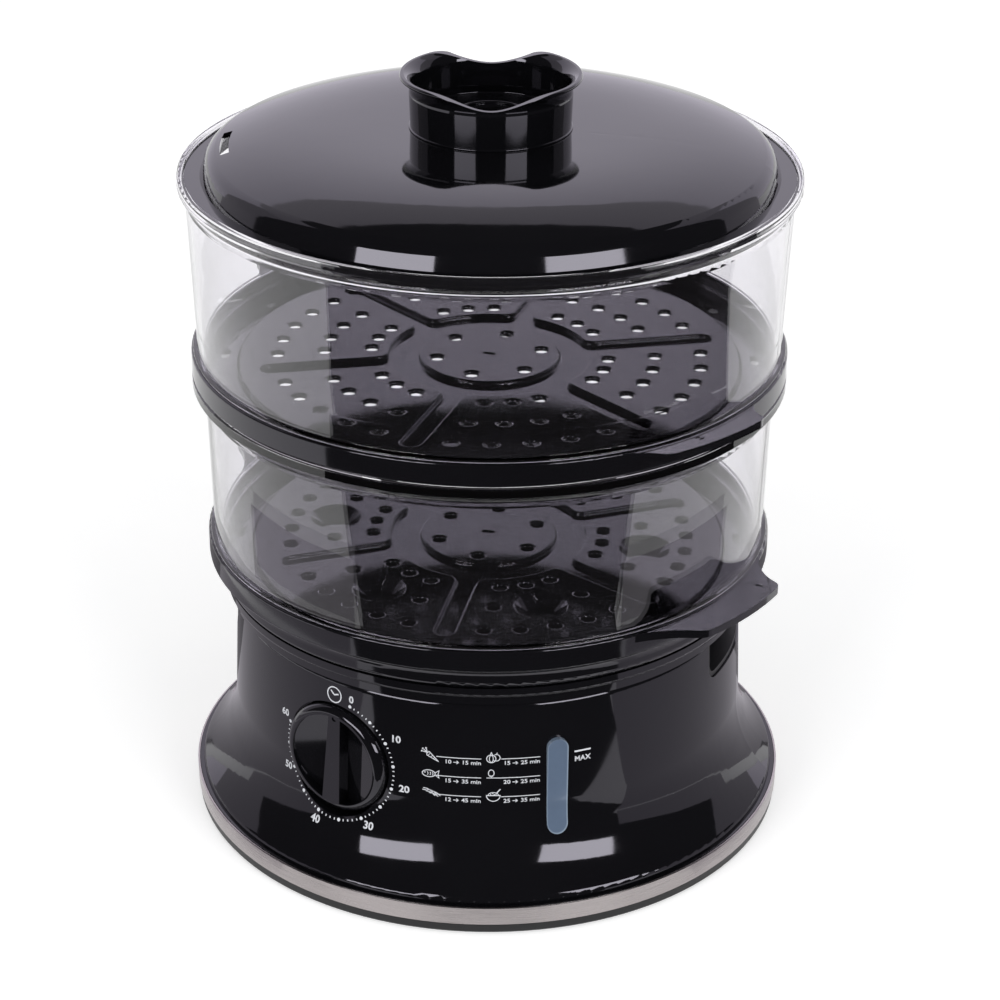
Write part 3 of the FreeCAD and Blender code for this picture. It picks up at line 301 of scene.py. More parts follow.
class Sheet:
    """Flat artwork in millimetres that is laid on a curved surface. Widths of lines are in millimetres too."""

    def __init__(self):
        self.mesh = bmesh.new()
        self.origin = Vector((0, 0))

    def spot(self, point):
        """New corner at a place given from the sheet's present origin."""
        return self.mesh.verts.new((*(Vector(point) + self.origin), 0))

    def dot(self, x, y, radius, sides=16):
        """Filled round spot."""
        turns = [2 * math.pi * i / sides for i in range(sides)]
        self.mesh.faces.new([self.spot((x + radius * math.cos(t), y + radius * math.sin(t))) for t in turns])

    def stroke(self, points, width, closed=False):
        """Line of even width through the points, as a strip of quads with mitred corners."""
        points = [Vector(p) for p in points]
        count = len(points)
        left, right = [], []
        for i, p in enumerate(points):
            before = points[i - 1] if i or closed else None
            after = points[(i + 1) % count] if i < count - 1 or closed else None
            ways = [w.normalized() for w in ((p - before) if before else None, (after - p) if after else None) if w]
            way = sum(ways, Vector((0, 0))).normalized()
            normal = Vector((-way.y, way.x))
            reach = width / 2 / max(0.5, normal.dot(Vector((-ways[0].y, ways[0].x))))
            left.append(self.spot(p + normal * reach))
            right.append(self.spot(p - normal * reach))
        for i in range(count if closed else count - 1):
            j = (i + 1) % count
            self.mesh.faces.new((left[i], right[i], right[j], left[j]))

    def ring(self, x, y, radius, width, squeeze=1.0, start=0.0, sweep=360.0, steps=28):
        """Line along a circle, an oval or a part of one."""
        closed = sweep >= 360
        turns = [math.radians(start + sweep * i / steps) for i in range(steps if closed else steps + 1)]
        self.stroke([(x + radius * math.cos(t), y + radius * squeeze * math.sin(t)) for t in turns], width, closed)

    def words(self, text, x, y, height, align="CENTER", bold=0.02, wide=1.0):
        """Plain numerals and unit words; height is the height of a capital or digit."""
        curve = bpy.data.curves.new("words", "FONT")
        curve.body, curve.align_x, curve.align_y = text, align, "CENTER"
        curve.size, curve.resolution_u, curve.offset = 1.0, 3, bold
        holder = bpy.data.objects.new("words", curve)
        bpy.context.scene.collection.objects.link(holder)
        flat = bpy.data.meshes.new_from_object(holder.evaluated_get(bpy.context.evaluated_depsgraph_get()))
        scale = height / CAPITAL_SHARE
        flat.transform(Matrix.Translation((x, y, 0)) @ Matrix.Diagonal((scale * wide, scale, 1, 1)))
        self.mesh.from_mesh(flat)
        bpy.data.objects.remove(holder)
        bpy.data.curves.remove(curve)
        bpy.data.meshes.remove(flat)

    def printed(self, name, material, lay, thickness):
        """Closed thin solid on the surface that lay(x, y) gives as a point and its outward normal."""
        mesh = self.mesh
        bmesh.ops.remove_doubles(mesh, verts=mesh.verts, dist=CORNERS_MEET)
        for _ in range(4):
            long_edges = [e for e in mesh.edges if e.calc_length() > LONGEST_EDGE]
            if not long_edges:
                break
            bmesh.ops.subdivide_edges(mesh, edges=long_edges, cuts=1, use_grid_fill=False)
        bmesh.ops.triangulate(mesh, faces=mesh.faces)
        for face in mesh.faces:
            if face.normal.z < 0:
                face.normal_flip()
        grown = bmesh.ops.extrude_face_region(mesh, geom=list(mesh.faces))
        top = {g for g in grown["geom"] if isinstance(g, bmesh.types.BMVert)}
        for vert in mesh.verts:
            point, normal = lay(vert.co.x, vert.co.y)
            vert.co = point + normal * (thickness if vert in top else -0.5 * thickness)
        bmesh.ops.recalc_face_normals(mesh, faces=mesh.faces)
        return piece_from(mesh, name, material)


def tree_of(node):
    """Search tree of a CAD node's mesh, for laying marks on it."""
    mesh = bmesh.new()
    mesh.from_mesh(NODES[node].data)
    tree = BVHTree.FromBMesh(mesh)
    mesh.free()
    return tree


def on_wall(azimuth, height_mm, flat):
    """Lays artwork on the housing: x runs round the wall to the right, y up, in millimetres.
    Flat artwork is projected along the azimuth, as round a knob, and other artwork is wrapped."""
    wall = tree_of("base_housing")

    def lay(x, y):
        turn = math.asin(x / WALL_RADIUS) if flat else x / WALL_RADIUS
        way, _ = out_and_side(azimuth + turn)
        start = way * OUTSIDE_WALL + Vector((0, 0, (height_mm + y) * MM))
        point, normal, _, _ = wall.ray_cast(start, -way)
        if point is None or point.xy.length < INSIDE_WALL:
            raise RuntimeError(f"no housing wall at {x:.1f}, {y:.1f}")
        return point, normal if normal.dot(way) > 0 else -normal

    return lay


def print_on_base(sheet, name, lay):
    """Prints the artwork in ink on the housing."""
    name_of_ink = "screen_ink_white"
    ink = bpy.data.materials.get(name_of_ink) or screen_printed_ink(name_of_ink, tuple(settings().ink))
    piece = sheet.printed(name, ink, lay, settings().ink_thickness)
    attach(piece, "base")


# ---- settings -------------------------------------------------------------------------------
class SteamerSettings(bpy.types.PropertyGroup):
    black: FloatVectorProperty(
        name="Black plastic", description="Colour of the polished black mouldings", subtype="COLOR", size=3,
        default=linear("#08080a"))
    satin_black: FloatVectorProperty(
        name="Satin black", description="Colour of the tank, turbo ring and bottom cover", subtype="COLOR", size=3,
        default=linear("#101012"))
    clear: FloatVectorProperty(
        name="Clear plastic", description="Tint of the bowls' walls", subtype="COLOR", size=3,
        default=linear("#f8f7fa"))
    window: FloatVectorProperty(
        name="Level window", description="Tint of the level window", subtype="COLOR", size=3,
        default=linear("#5c6b80"))
    steel: FloatVectorProperty(
        name="Trim ring", description="Colour of the brushed trim ring", subtype="COLOR", size=3,
        default=linear("#bdb6b6"))
    ink: FloatVectorProperty(
        name="Ink", description="Colour of the printed marks", subtype="COLOR", size=3,
        default=linear("#e6e8ee"))
    ink_thickness: FloatProperty(
        name="Ink thickness", description="How far a printed mark stands proud", unit="LENGTH", default=0.00006)
    dial_radius: FloatProperty(
        name="Dial radius", description="Radius of the ring of minute marks", unit="LENGTH", default=0.0272)
    digit_height: FloatProperty(
        name="Digit height", description="Height of the dial's numerals", unit="LENGTH", default=0.0031)
    minutes: IntProperty(
        name="Minutes", description="Longest time on the dial", default=60, min=10, max=120)
    numeral_height: FloatProperty(
        name="Ear numerals", description="Height of the numerals on the ears", unit="LENGTH", default=0.0032)
    lens: FloatProperty(
        name="Lens", description="Focal length of the camera in millimetres", default=95.9)
    lamp_level: FloatProperty(
        name="Lamp level", description="Brightness of the two softboxes as they are seen", default=7.3)


# ---- pieces ---------------------------------------------------------------------------------
class STEAMER_OT_polished_shells(bpy.types.Operator):
    """Polished black finish for the mouldings that are seen"""

    bl_idname = "steamer.polished_shells"
    bl_label = "Polished black mouldings"

    def execute(self, context):
        colour = tuple(settings().black)
        shell = polished_black_abs("black_abs_polished", colour, gloss=0.03, waviness_mm=0.02)
        rack = polished_black_abs("black_abs_moulded", colour, gloss=0.05, waviness_mm=0.03)
        dress(shell, "base_housing", "timer_knob", "lid_shell", "lid_knob", "drip_tray")
        dress(rack, "lower_bowl_ring", "upper_bowl_ring", "lower_grid", "upper_grid")
        return {"FINISHED"}


class STEAMER_OT_satin_mouldings(bpy.types.Operator):
    """Satin black, cream and elastic finishes of the tank, cover, timer case, seal, fuse, gland and feet"""

    bl_idname = "steamer.satin_mouldings"
    bl_label = "Satin and elastic mouldings"

    def execute(self, context):
        dress(satin_black_polypropylene("black_polypropylene_satin", tuple(settings().satin_black)),
              "bottom_cover", "water_tank", "turbo_ring")
        dress(soft_moulding("black_rubber_moulded", linear("#141415"), 0.7, 0.7, 0.03), "rubber_feet", "cord_gland")
        dress(soft_moulding("silicone_grey", linear("#a9a6a2"), 0.5, 1.0, 0.01), "heater_gasket")
        dress(soft_moulding("phenolic_cream", linear("#d8d2c4"), 0.45, 0.6, 0.02), "timer_body", "terminal_block")
        dress(soft_moulding("fuse_sleeve_glass_fibre", linear("#c9c4ba"), 0.6, 0.5, 0.05), "thermal_fuse")
        return {"FINISHED"}


class STEAMER_OT_clear_mouldings(bpy.types.Operator):
    """Clear walls of the bowls and the tinted level window"""

    bl_idname = "steamer.clear_mouldings"
    bl_label = "Clear mouldings"

    def execute(self, context):
        dress(clear_styrene("clear_styrene_polished", tuple(settings().clear)), "lower_bowl_wall", "upper_bowl_wall")
        dress(smoked_window_styrene("level_window_slate", tuple(settings().window)), "level_window")
        return {"FINISHED"}


class STEAMER_OT_metal_parts(bpy.types.Operator):
    """Trim ring, heater and metal fittings"""

    bl_idname = "steamer.metal_parts"
    bl_label = "Metal parts"

    def execute(self, context):
        dress(brushed_stainless("stainless_brushed", tuple(settings().steel)), "steel_trim_ring")
        dress(plain_metal("aluminium_cast", linear("#a8aaac"), 0.45, 0.8, 0.03), "heater_plate")
        dress(plain_metal("heater_tube_stainless", linear("#8f8a84"), 0.4, 0.5, 0.01), "heating_element")
        dress(plain_metal("zinc_plated_steel", linear("#b6b9bf"), 0.32, 0.4, 0.01),
              "bottom_screws", "heater_nuts", "timer_screws", "lid_knob_screws", "thermostat", "timer_shaft")
        dress(plain_metal("brass_turned", linear("#c9a35a"), 0.3, 0.5, 0.01), "heater_terminals")
        dress(plain_metal("bell_steel_nickelled", linear("#c3c0b8"), 0.16, 1.5, 0.005), "timer_bell")
        return {"FINISHED"}


class STEAMER_OT_print_dial(bpy.types.Operator):
    """Minute marks, numerals and clock sign printed round the timer knob"""

    bl_idname = "steamer.print_dial"
    bl_label = "Dial print"

    def execute(self, context):
        s = settings()
        joint = next(j for j in frame["joints"] if j["name"] == "timer_turn")
        azimuth, height = azimuth_of(joint["pos_m"]), joint["pos_m"][2] / MM
        radius, digit = s.dial_radius / MM, s.digit_height / MM
        sheet = Sheet()
        sheet.origin = Vector((0.4, 0.3))
        first_turn, per_minute = 15.0, 4.5
        tick_half, tick_width, dot_radius, numeral_gap = 0.42, 0.46, 0.74, 4.2
        # each numeral stands beside its dot, level with the ones across the dial
        beside = {0: (0.6, 3.2), 10: (4.4, 2.9), 20: (5.4, 1.0), 30: (3.6, -2.2), 40: (-0.5, -3.8), 50: (-3.6, -0.9),
                  60: (-3.4, 2.8)}

        def at(minute, reach):
            turn = math.radians(first_turn + per_minute * minute)
            return Vector((reach * math.sin(turn), reach * math.cos(turn)))

        for minute in range(s.minutes + 1):
            if minute % 5:
                sheet.stroke([at(minute, radius - tick_half), at(minute, radius + tick_half)], tick_width)
            else:
                sheet.dot(*at(minute, radius), dot_radius)
            if minute % 10 == 0:
                spot = at(minute, radius) + Vector(beside.get(minute, at(minute, numeral_gap))) + sheet.origin
                sheet.words(str(minute), *spot, digit, bold=0.03)
        clock = Vector((-0.9, radius + 2.2))
        sheet.ring(*clock, radius=3.5, width=0.5)
        sheet.stroke([clock + Vector((-1.8, 1.7)), clock, clock + Vector((2.2, 0.8))], width=0.6)
        print_on_base(sheet, "dial_print", on_wall(azimuth, height, flat=True))
        return {"FINISHED"}


class STEAMER_OT_print_guide(bpy.types.Operator):
    """Cooking guide: six little food signs, each over a line with its range of minutes"""

    bl_idname = "steamer.print_guide"
    bl_label = "Cooking guide print"

    def execute(self, context):
        sheet = Sheet()
        azimuth, height = math.radians(10.8), 64.3
        pitch, line, egg_line = 8.8, 0.32, 2.8
        text_drop, text_height, text_wide = 2.05, 1.75, 1.16
        high_width, arrow, arrow_gap = 9.3, 2.1, 0.8
        arrow_back, arrow_half, arrow_line = 0.8, 0.7, 0.3
        rows = (((self.carrot, "10", "15"), (self.onions, "15", "25")),
                ((self.fish, "15", "35"), (self.egg, "20", "25")),
                ((self.beans, "12", "45"), (self.rice_bowl, "25", "35")))
        columns = ((-21.0, -18.6, -0.1), (4.9, 8.1, 24.1))
        for row, signs in enumerate(rows):
            base = (1 - row) * pitch
            for (middle, start, end), (sign, low, high) in zip(columns, signs):
                # the egg's line runs on under the sign, and the others begin beside theirs
                sheet.stroke([(middle - egg_line if sign is self.egg else start, base), (end, base)], line)
                text = base - text_drop
                tip = Vector((end - high_width, text))
                tail = tip - Vector((arrow, 0))
                for words, right in ((high + " min", end), (low, tail.x - arrow_gap)):
                    sheet.words(words, right, text, text_height, "RIGHT", wide=text_wide)
                sheet.stroke([tail, tip], arrow_line)
                sheet.stroke([tip + Vector((-arrow_back, arrow_half)), tip, tip - Vector((arrow_back, arrow_half))],
                             arrow_line)
                sheet.origin = Vector((middle, base))
                sign(sheet)
                sheet.origin = Vector((0, 0))
        print_on_base(sheet, "cooking_guide_print", on_wall(azimuth, height, flat=False))
        return {"FINISHED"}

    # The signs' corners are measured from the middle of the sign, on its line.
    @staticmethod
    def carrot(sheet):
        sheet.stroke([(-1.6, 0.9), (-0.6, 1.9), (3.4, -2.4)], 0.34)
        sheet.stroke([(-1.6, 0.9), (-1.5, 0.1), (3.4, -2.4)], 0.34)
        for x, y in ((-0.2, 0.9), (0.8, 0.1), (1.7, -0.7)):
            sheet.stroke([(x, y), (x - 0.7, y - 0.6)], 0.28)
        for x, y in ((-3.6, 1.8), (-3.2, 2.9), (-1.9, 3.3)):
            sheet.stroke([(-1.3, 1.3), (x, y)], 0.34)
            sheet.dot(x, y, 0.4, 12)

    @staticmethod
    def fish(sheet):
        sheet.ring(-0.7, 0.5, 2.7, 0.36, 0.58)
        sheet.stroke([(1.8, 0.9), (3.6, 2.2), (3.2, 0.5), (3.6, -1.2), (1.8, 0.1)], 0.34)
        sheet.dot(-2.3, 0.9, 0.3, 10)
        for x in (-1.1, 0.0, 1.0):
            sheet.ring(x - 0.8, 0.5, 0.9, 0.26, 1.1, -50, 100, 8)

    @staticmethod
    def beans(sheet):
        for shift, lift in ((-2.0, 0.9), (-0.4, 0.3), (1.2, -0.3)):
            sheet.ring(shift - 0.6, lift - 3.0, 4.4, 0.34, 1.0, 35, 60, 12)
            sheet.ring(shift - 1.0, lift - 3.4, 4.0, 0.34, 1.0, 40, 55, 12)
        for x, y in ((-1.6, 1.2), (-0.6, 0.8), (0.9, 0.2), (1.8, -0.6)):
            sheet.dot(x, y, 0.3, 10)

    @staticmethod
    def onions(sheet):
        sheet.ring(-0.9, 0.1, 1.9, 0.34, 0.94)
        sheet.stroke([(-1.5, 1.7), (-0.9, 3.0), (-0.3, 1.7)], 0.32)
        sheet.ring(-0.9, 0.1, 0.8, 0.28, 2.0, steps=20)
        sheet.ring(1.1, 0.6, 1.6, 0.34, 0.94, -130, 245, 20)
        sheet.stroke([(1.0, 2.0), (1.6, 2.9)], 0.32)

    @staticmethod
    def egg(sheet):
        sheet.ring(-0.9, 2.2, 1.15, 0.34, 1.35)
        sheet.stroke([(-1.8, 1.3), (-0.9, 0.8), (0.0, 1.3)], 0.3)
        sheet.stroke([(-0.9, 0.8), (-0.9, 0.0)], 0.4)

    @staticmethod
    def rice_bowl(sheet):
        sheet.ring(0, 0.6, 2.8, 0.36, 0.95, 180, 180, 16)
        sheet.stroke([(-3.0, 0.6), (3.0, 0.6)], 0.36)
        sheet.ring(0, 0.7, 2.1, 0.3, 0.62, 0, 180, 12)
        for x, y in ((-1.1, 1.1), (-0.2, 1.5), (0.4, 1.0), (1.1, 1.2)):
            sheet.dot(x, y, 0.26, 8)
        sheet.stroke([(1.4, 1.8), (2.9, 3.6)], 0.42)


class STEAMER_OT_print_level(bpy.types.Operator):
    """Upper level line beside the window"""

    bl_idname = "steamer.print_level"
    bl_label = "Level line print"

    def execute(self, context):
        low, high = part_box("level_window")
        azimuth, height = azimuth_of((low + high) / 2), 62.8
        start, end, rise, line = 7.6, 14.8, 10.5, 0.75
        word_rise, word_height = 6.9, 2.3
        sheet = Sheet()
        sheet.stroke([(start, rise), (end, rise)], line)
        sheet.words("MAX", (start + end) / 2, word_rise, word_height, bold=0.03)
        print_on_base(sheet, "level_line_print", on_wall(azimuth, height, flat=False))
        return {"FINISHED"}


class STEAMER_OT_ear_numerals(bpy.types.Operator):
    """Raised numerals that tell the lower bowl from the upper one"""

    bl_idname = "steamer.ear_numerals"
    bl_label = "Ear numerals"

    def execute(self, context):
        height, relief_height = settings().numeral_height / MM, 0.00025
        reach, above = 0.1295, 0.4
        for numeral, node, body in (("1", "lower_bowl_ring", "lower_bowl"), ("2", "upper_bowl_ring", "upper_bowl")):
            mesh = NODES[node].data
            tip = max((v.co for v in mesh.vertices if v.co.x > 0), key=lambda co: co.xy.length)
            azimuth, surface = azimuth_of(tip), tree_of(node)
            for number, turn in enumerate((azimuth, azimuth + math.pi)):
                out, side = out_and_side(turn)

                def lay(x, y, out=out, side=side):
                    start = out * reach + side * x * MM + out * y * -MM + Vector((0, 0, above))
                    point, normal, _, _ = surface.ray_cast(start, Vector((0, 0, -1)))
                    return point, normal if normal.z > 0 else -normal

                sheet = Sheet()
                sheet.words(numeral, 0, 0, height, bold=0.01)
                piece = sheet.printed(f"{body}_numeral_{number + 1}", mesh.materials[0], lay, relief_height)
                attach(piece, body)
        return {"FINISHED"}


class STEAMER_OT_knob_foot(bpy.types.Operator):
    """Rounded foot where the lid knob meets the lid's crown, that catches a thin line of light"""

    bl_idname = "steamer.knob_foot"
    bl_label = "Knob foot"

    def execute(self, context):
        low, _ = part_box("lid_knob")
        foot_band, bead, proud, rise = 0.0002, 0.0005, 0.0001, 0.0003
        around, sides = 96, 10
        foot = [v.co for v in NODES["lid_knob"].data.vertices if v.co.z < low.z + foot_band]
        if not foot:
            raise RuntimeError("the lid knob has no foot")
        radius = max(co.xy.length for co in foot) + proud
        section = [(radius + bead * math.cos(2 * math.pi * k / sides),
                    low.z + rise + bead * math.sin(2 * math.pi * k / sides)) for k in range(sides)]
        mesh = bmesh.new()
        rings = [[mesh.verts.new((reach * math.cos(turn), reach * math.sin(turn), height))
                  for reach, height in section]
                 for turn in (2 * math.pi * i / around for i in range(around))]
        for here, there in zip(rings, rings[1:] + rings[:1]):
            for k in range(sides):
                after = (k + 1) % sides
                mesh.faces.new((here[k], there[k], there[after], here[after]))
        bmesh.ops.recalc_face_normals(mesh, faces=mesh.faces)
        for face in mesh.faces:
            face.smooth = True
        piece = piece_from(mesh, "lid_knob_foot_bead", NODES["lid_knob"].data.materials[0])
        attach(piece, "lid")
        return {"FINISHED"}


# ---- studio ---------------------------------------------------------------------------------
# Lengths are in metres, and the azimuths and turns of lamps, flags and cloths in degrees from the camera's.
CAMERA_AZIMUTH = math.radians(12.0)
CAMERA_REACH, CAMERA_HEIGHT, CAMERA_PITCH = 1.030, 0.648, math.radians(26.455)
CAMERA_ROLL = math.radians(0.45)
AXIS_OFFSET_PX, FOCAL_PX = -11.3, 2663.4
SENSOR_WIDTH = 36.0
MIRRORED_WHITE = (1.06, 1.01, 1.14)
ROOM_FILL, FLOOR_GLOW = 0.55, 0.42
FLOOR_REACH = 30.0
SOFTBOX_WIDTH, SOFTBOX_DEPTH = 2.0, 1.06
SOFTBOX_TURN, SOFTBOX_REACH, SOFTBOX_HEIGHT, SOFTBOX_AIM = 36.5, 3.7, 1.23, 0.06
SKY_REACH, TOP_REACH, SKY_CENTRE, SKY_ROWS = 4.4, 4.45, 0.12, 8
CLOTH_NEAR, CLOTH_FAR, CLOTH_HEIGHT = 0.14, 0.30, 0.002
CARD_REACH, CARD_FOOT, CARD_TOP, CARD_STEPS = 0.31, 0.003, 0.045, 16
FLAG_HEIGHT = 0.003
# corners of the floor's flag in metres, to the right of the object and away from the camera
FLOOR_FLAG = (
    (-0.11, -0.172), (0.18, -0.172), (0.228, -0.231), (0.36, -0.272), (0.43, -0.29), (0.49, -0.18),
    (0.52, 0.05), (0.65, 0.05), (2.5, 1.0), (4.3, 1.2), (4.3, -4.3), (-4.3, -4.3), (-4.3, -2.6),
    (-0.67, -0.41), (-0.47, -0.305), (-0.35, -0.266), (-0.223, -0.228))


def away(azimuth, reach, height):
    """Point at an azimuth from the front, a reach from the axis and a height."""
    return Vector((math.sin(azimuth) * reach, -math.cos(azimuth) * reach, height))


def stage_piece(name, material, build):
    """Piece of the studio, whose mesh build() fills."""
    mesh = bmesh.new()
    build(mesh)
    piece = piece_from(mesh, name, material)
    return piece


def seen_as_background(tree):
    """1 for rays from the camera, mirror rays and rays through clear plastic."""
    path = add(tree, "LightPath")
    either = add(tree, "Math", {"operation": "MAXIMUM"}, {
        0: path.outputs["Is Camera Ray"], 1: path.outputs["Is Glossy Ray"]})
    return add(tree, "Math", {"operation": "MAXIMUM"}, {
        0: either.outputs[0], 1: path.outputs["Is Transmission Ray"]}).outputs[0]


def white_surroundings():
    """Room: white where it is seen, and a plain soft fill where it lights."""
    world = bpy.data.worlds.new("white_room")
    bpy.context.scene.world = world
    world.use_nodes = True
    tree = world.node_tree
    tree.nodes.clear()
    fill = add(tree, "Background", None, {"Color": (1.0, 1.0, 1.0), "Strength": ROOM_FILL})
    mirrored = add(tree, "LightPath").outputs["Is Glossy Ray"]
    # the room is a little cool where it is mirrored, which shows in black plastic, steel and clear walls
    tone = blend_colours(tree, mirrored, (1.0, 1.0, 1.0), MIRRORED_WHITE)
    seen = add(tree, "Background", None, {"Color": tone, "Strength": 1.0})
    mixed = add(tree, "MixShader", None, {0: seen_as_background(tree), 1: fill.outputs[0], 2: seen.outputs[0]})
    add(tree, "OutputWorld", None, {"Surface": mixed.outputs[0]})


def floor_paint():
    """Painted board: pale matt white that keeps the shadow and meets the white room."""
    material = bpy.data.materials.new("floor_matt_white")
    material.use_nodes = True
    tree = material.node_tree
    tree.nodes.clear()
    place = add(tree, "TexCoord").outputs["Object"]
    tone = blend_colours(tree, speckle(tree, place, size_mm=60), linear("#f4f4f5"), linear("#f8f8f8"))
    paint = add(tree, "BsdfDiffuse", None, {"Color": tone, "Roughness": 0.4})
    glow = add(tree, "Emission", None, {"Color": (1.0, 1.0, 1.0)})
    strength = add(tree, "Math", {"operation": "MULTIPLY"}, {0: seen_as_background(tree), 1: FLOOR_GLOW})
    tree.links.new(strength.outputs[0], glow.inputs["Strength"])
    both = add(tree, "AddShader", None, {0: paint.outputs[0], 1: glow.outputs[0]})
    add(tree, "OutputMaterial", None, {"Surface": both.outputs[0]})
    return material


def flag_cloth(name, level):
    """Studio flag: shows only in what mirrors it, and keeps black plastic black."""
    material = bpy.data.materials.new(name)
    material.use_nodes = True
    tree = material.node_tree
    tree.nodes.clear()
    depth = add(tree, "LightPath").outputs["Glossy Depth"]
    mirrored = add(tree, "Math", {"operation": "GREATER_THAN"}, {0: depth, 1: 0.5})
    cloth = add(tree, "Emission", None, {"Color": linear("#fbf6ff"), "Strength": level})
    gone = add(tree, "BsdfTransparent")
    mixed = add(tree, "MixShader", None, {0: mirrored.outputs[0], 1: gone.outputs[0], 2: cloth.outputs[0]})
    add(tree, "OutputMaterial", None, {"Surface": mixed.outputs[0]})
    return material


def arc(azimuths, steps):
    """Azimuths at even steps between two that are given in degrees from the camera."""
    start, end = azimuths
    return [CAMERA_AZIMUTH + math.radians(start + (end - start) * i / steps) for i in range(steps + 1)]


def band(mesh, low, high):
    """Faces between two rows of corners."""
    for i in range(len(low) - 1):
        mesh.faces.new((low[i], low[i + 1], high[i + 1], high[i]))


def sky_patch(mesh, reach, azimuths, elevations, steps=24):
    """Part of a sphere round the object, between two azimuths from the camera and two elevations."""
    lowest, highest = elevations
    rows = []
    for k in range(SKY_ROWS + 1):
        lift = math.radians(lowest + (highest - lowest) * k / SKY_ROWS)
        rows.append([mesh.verts.new(away(azimuth, reach * math.cos(lift), SKY_CENTRE + reach * math.sin(lift)))
                     for azimuth in arc(azimuths, steps)])
    for low, high in zip(rows, rows[1:]):
        band(mesh, low, high)


def floor_patch(mesh, near, far, azimuths, height=CLOTH_HEIGHT, steps=24):
    """Part of a ring on the floor."""
    inner, outer = [[mesh.verts.new(away(azimuth, reach, height)) for azimuth in arc(azimuths, steps)]
                    for reach in (near, far)]
    band(mesh, outer, inner)


def floor_cloth(mesh, corners):
    """Cloth on the floor, its corners in metres to the right of the object and away from the camera."""
    mesh.faces.new([mesh.verts.new(away(
        CAMERA_AZIMUTH + math.atan2(x, -y), math.hypot(x, y), FLAG_HEIGHT)) for x, y in corners])


def low_card(mesh, azimuths):
    """Card that stands on the floor along an arc round the object."""
    foot, head = [[mesh.verts.new(away(azimuth, CARD_REACH, height)) for azimuth in arc(azimuths, CARD_STEPS)]
                  for height in (CARD_FOOT, CARD_TOP)]
    band(mesh, foot, head)


def hide_from_all_but_mirrors(piece):
    """Rays from the camera, soft light and shadows miss the piece."""
    piece.visible_camera = piece.visible_diffuse = piece.visible_shadow = False
    piece.visible_volume_scatter = False


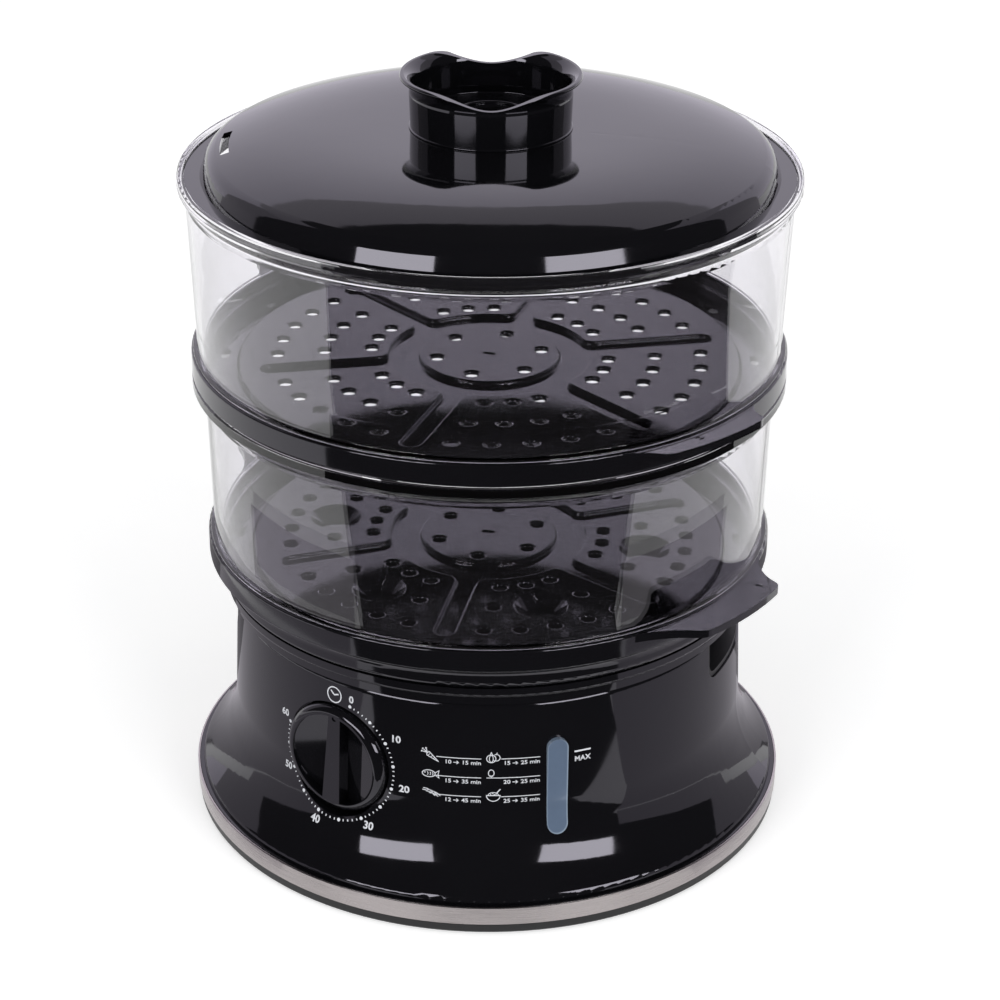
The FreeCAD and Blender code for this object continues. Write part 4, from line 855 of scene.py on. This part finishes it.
class STEAMER_OT_studio(bpy.types.Operator):
    """Pale floor, white room, dark flags, two softboxes and the camera"""

    bl_idname = "steamer.studio"
    bl_label = "Studio"

    def execute(self, context):
        scene = bpy.context.scene
        scene.view_settings.view_transform = "Standard"
        white_surroundings()

        def floor(mesh):
            floor_patch(mesh, 0.0, FLOOR_REACH, (0, 360), height=0.0, steps=96)
            bmesh.ops.remove_doubles(mesh, verts=mesh.verts, dist=1e-6)

        stage_piece("studio_floor", floor_paint(), floor)
        black, dim, soft, grey = [flag_cloth(f"flag_{name}", level) for name, level in (
            ("black", 0.05), ("dim", 0.2), ("soft", 0.5), ("grey", 0.62))]
        flags = (
            ("floor_flag", black, lambda m: floor_cloth(m, FLOOR_FLAG)),
            ("floor_cloth_right", soft, lambda m: floor_patch(m, CLOTH_NEAR, CLOTH_FAR, (46, 120))),
            ("floor_cloth_left", soft, lambda m: floor_patch(m, CLOTH_NEAR, CLOTH_FAR, (-120, -46))),
            ("floor_cloth_back", dim, lambda m: floor_patch(m, CLOTH_NEAR, CLOTH_FAR, (120, 240))),
            # keeps the timer knob's left scoop black
            ("floor_cloth_knob", black, lambda m: floor_patch(m, 0.160, 0.204, (-46, -37))),
            ("low_card_right", soft, lambda m: low_card(m, (46, 95))),
            ("low_card_left", soft, lambda m: low_card(m, (-95, -46))),
            ("front_flag", black, lambda m: sky_patch(m, SKY_REACH, (-100, 100), (-2, 66))),
            ("side_flag_right", soft, lambda m: sky_patch(m, SKY_REACH, (100, 125), (-2, 40))),
            ("side_flag_left", soft, lambda m: sky_patch(m, SKY_REACH, (-125, -100), (-2, 40))),
            ("high_flag", grey, lambda m: sky_patch(m, SKY_REACH, (100, 260), (40, 51.5))),
            ("top_flag", black, lambda m: sky_patch(m, TOP_REACH, (0, 360), (51.5, 89.9), steps=48)),
        )
        for name, cloth, build in flags:
            hide_from_all_but_mirrors(stage_piece(name, cloth, build))

        for name, turn in (("softbox_left", -SOFTBOX_TURN), ("softbox_right", SOFTBOX_TURN)):
            lamp = bpy.data.lights.new(name, "AREA")
            lamp.shape, lamp.size, lamp.size_y = "RECTANGLE", SOFTBOX_WIDTH, SOFTBOX_DEPTH
            lamp.energy = settings().lamp_level * lamp.size * lamp.size_y * math.pi
            holder = bpy.data.objects.new(name, lamp)
            spot = away(CAMERA_AZIMUTH + math.radians(turn), SOFTBOX_REACH, SOFTBOX_HEIGHT)
            holder.location = spot
            holder.rotation_euler = (spot - Vector((0, 0, SOFTBOX_AIM))).to_track_quat("Z", "Y").to_euler()
            scene.collection.objects.link(holder)

        eye = bpy.data.cameras.new("camera")
        eye.lens, eye.sensor_width = settings().lens, SENSOR_WIDTH
        holder = bpy.data.objects.new("camera", eye)
        holder.location = away(CAMERA_AZIMUTH, CAMERA_REACH, CAMERA_HEIGHT)
        level = Vector((-math.sin(CAMERA_AZIMUTH), math.cos(CAMERA_AZIMUTH), 0))
        look = level * math.cos(CAMERA_PITCH) - Vector((0, 0, math.sin(CAMERA_PITCH)))
        right = look.cross(Vector((0, 0, 1))).normalized()
        look = (look - right * AXIS_OFFSET_PX / FOCAL_PX).normalized()
        holder.rotation_mode = "QUATERNION"
        roll = Matrix.Rotation(CAMERA_ROLL, 4, "Z").to_quaternion()
        holder.rotation_quaternion = look.to_track_quat("-Z", "Y") @ roll
        scene.collection.objects.link(holder)
        scene.camera = holder
        return {"FINISHED"}


class STEAMER_PT_panel(bpy.types.Panel):
    bl_idname = "STEAMER_PT_panel"
    bl_label = "Food steamer"
    bl_space_type = "VIEW_3D"
    bl_region_type = "UI"
    bl_category = "Steamer"

    def draw(self, context):
        for name in SteamerSettings.__annotations__:
            self.layout.prop(context.scene.steamer, name)
        for operator in PIECES:
            self.layout.operator(operator.bl_idname)


PIECES = (STEAMER_OT_polished_shells, STEAMER_OT_satin_mouldings, STEAMER_OT_clear_mouldings, STEAMER_OT_metal_parts,
          STEAMER_OT_print_dial, STEAMER_OT_print_guide, STEAMER_OT_print_level, STEAMER_OT_ear_numerals,
          STEAMER_OT_knob_foot, STEAMER_OT_studio)
CLASSES = (SteamerSettings, *PIECES, STEAMER_PT_panel)


def register():
    for cls in CLASSES:
        bpy.utils.register_class(cls)
    bpy.types.Scene.steamer = PointerProperty(type=SteamerSettings)


def unregister():
    del bpy.types.Scene.steamer
    for cls in reversed(CLASSES):
        bpy.utils.unregister_class(cls)


def main():
    register()
    bpy.ops.steamer.polished_shells()
    bpy.ops.steamer.satin_mouldings()
    bpy.ops.steamer.clear_mouldings()
    bpy.ops.steamer.metal_parts()
    bpy.ops.steamer.print_dial()
    bpy.ops.steamer.print_guide()
    bpy.ops.steamer.print_level()
    bpy.ops.steamer.ear_numerals()
    bpy.ops.steamer.knob_foot()
    bpy.ops.steamer.studio()


if __name__ == "__main__":
    main()
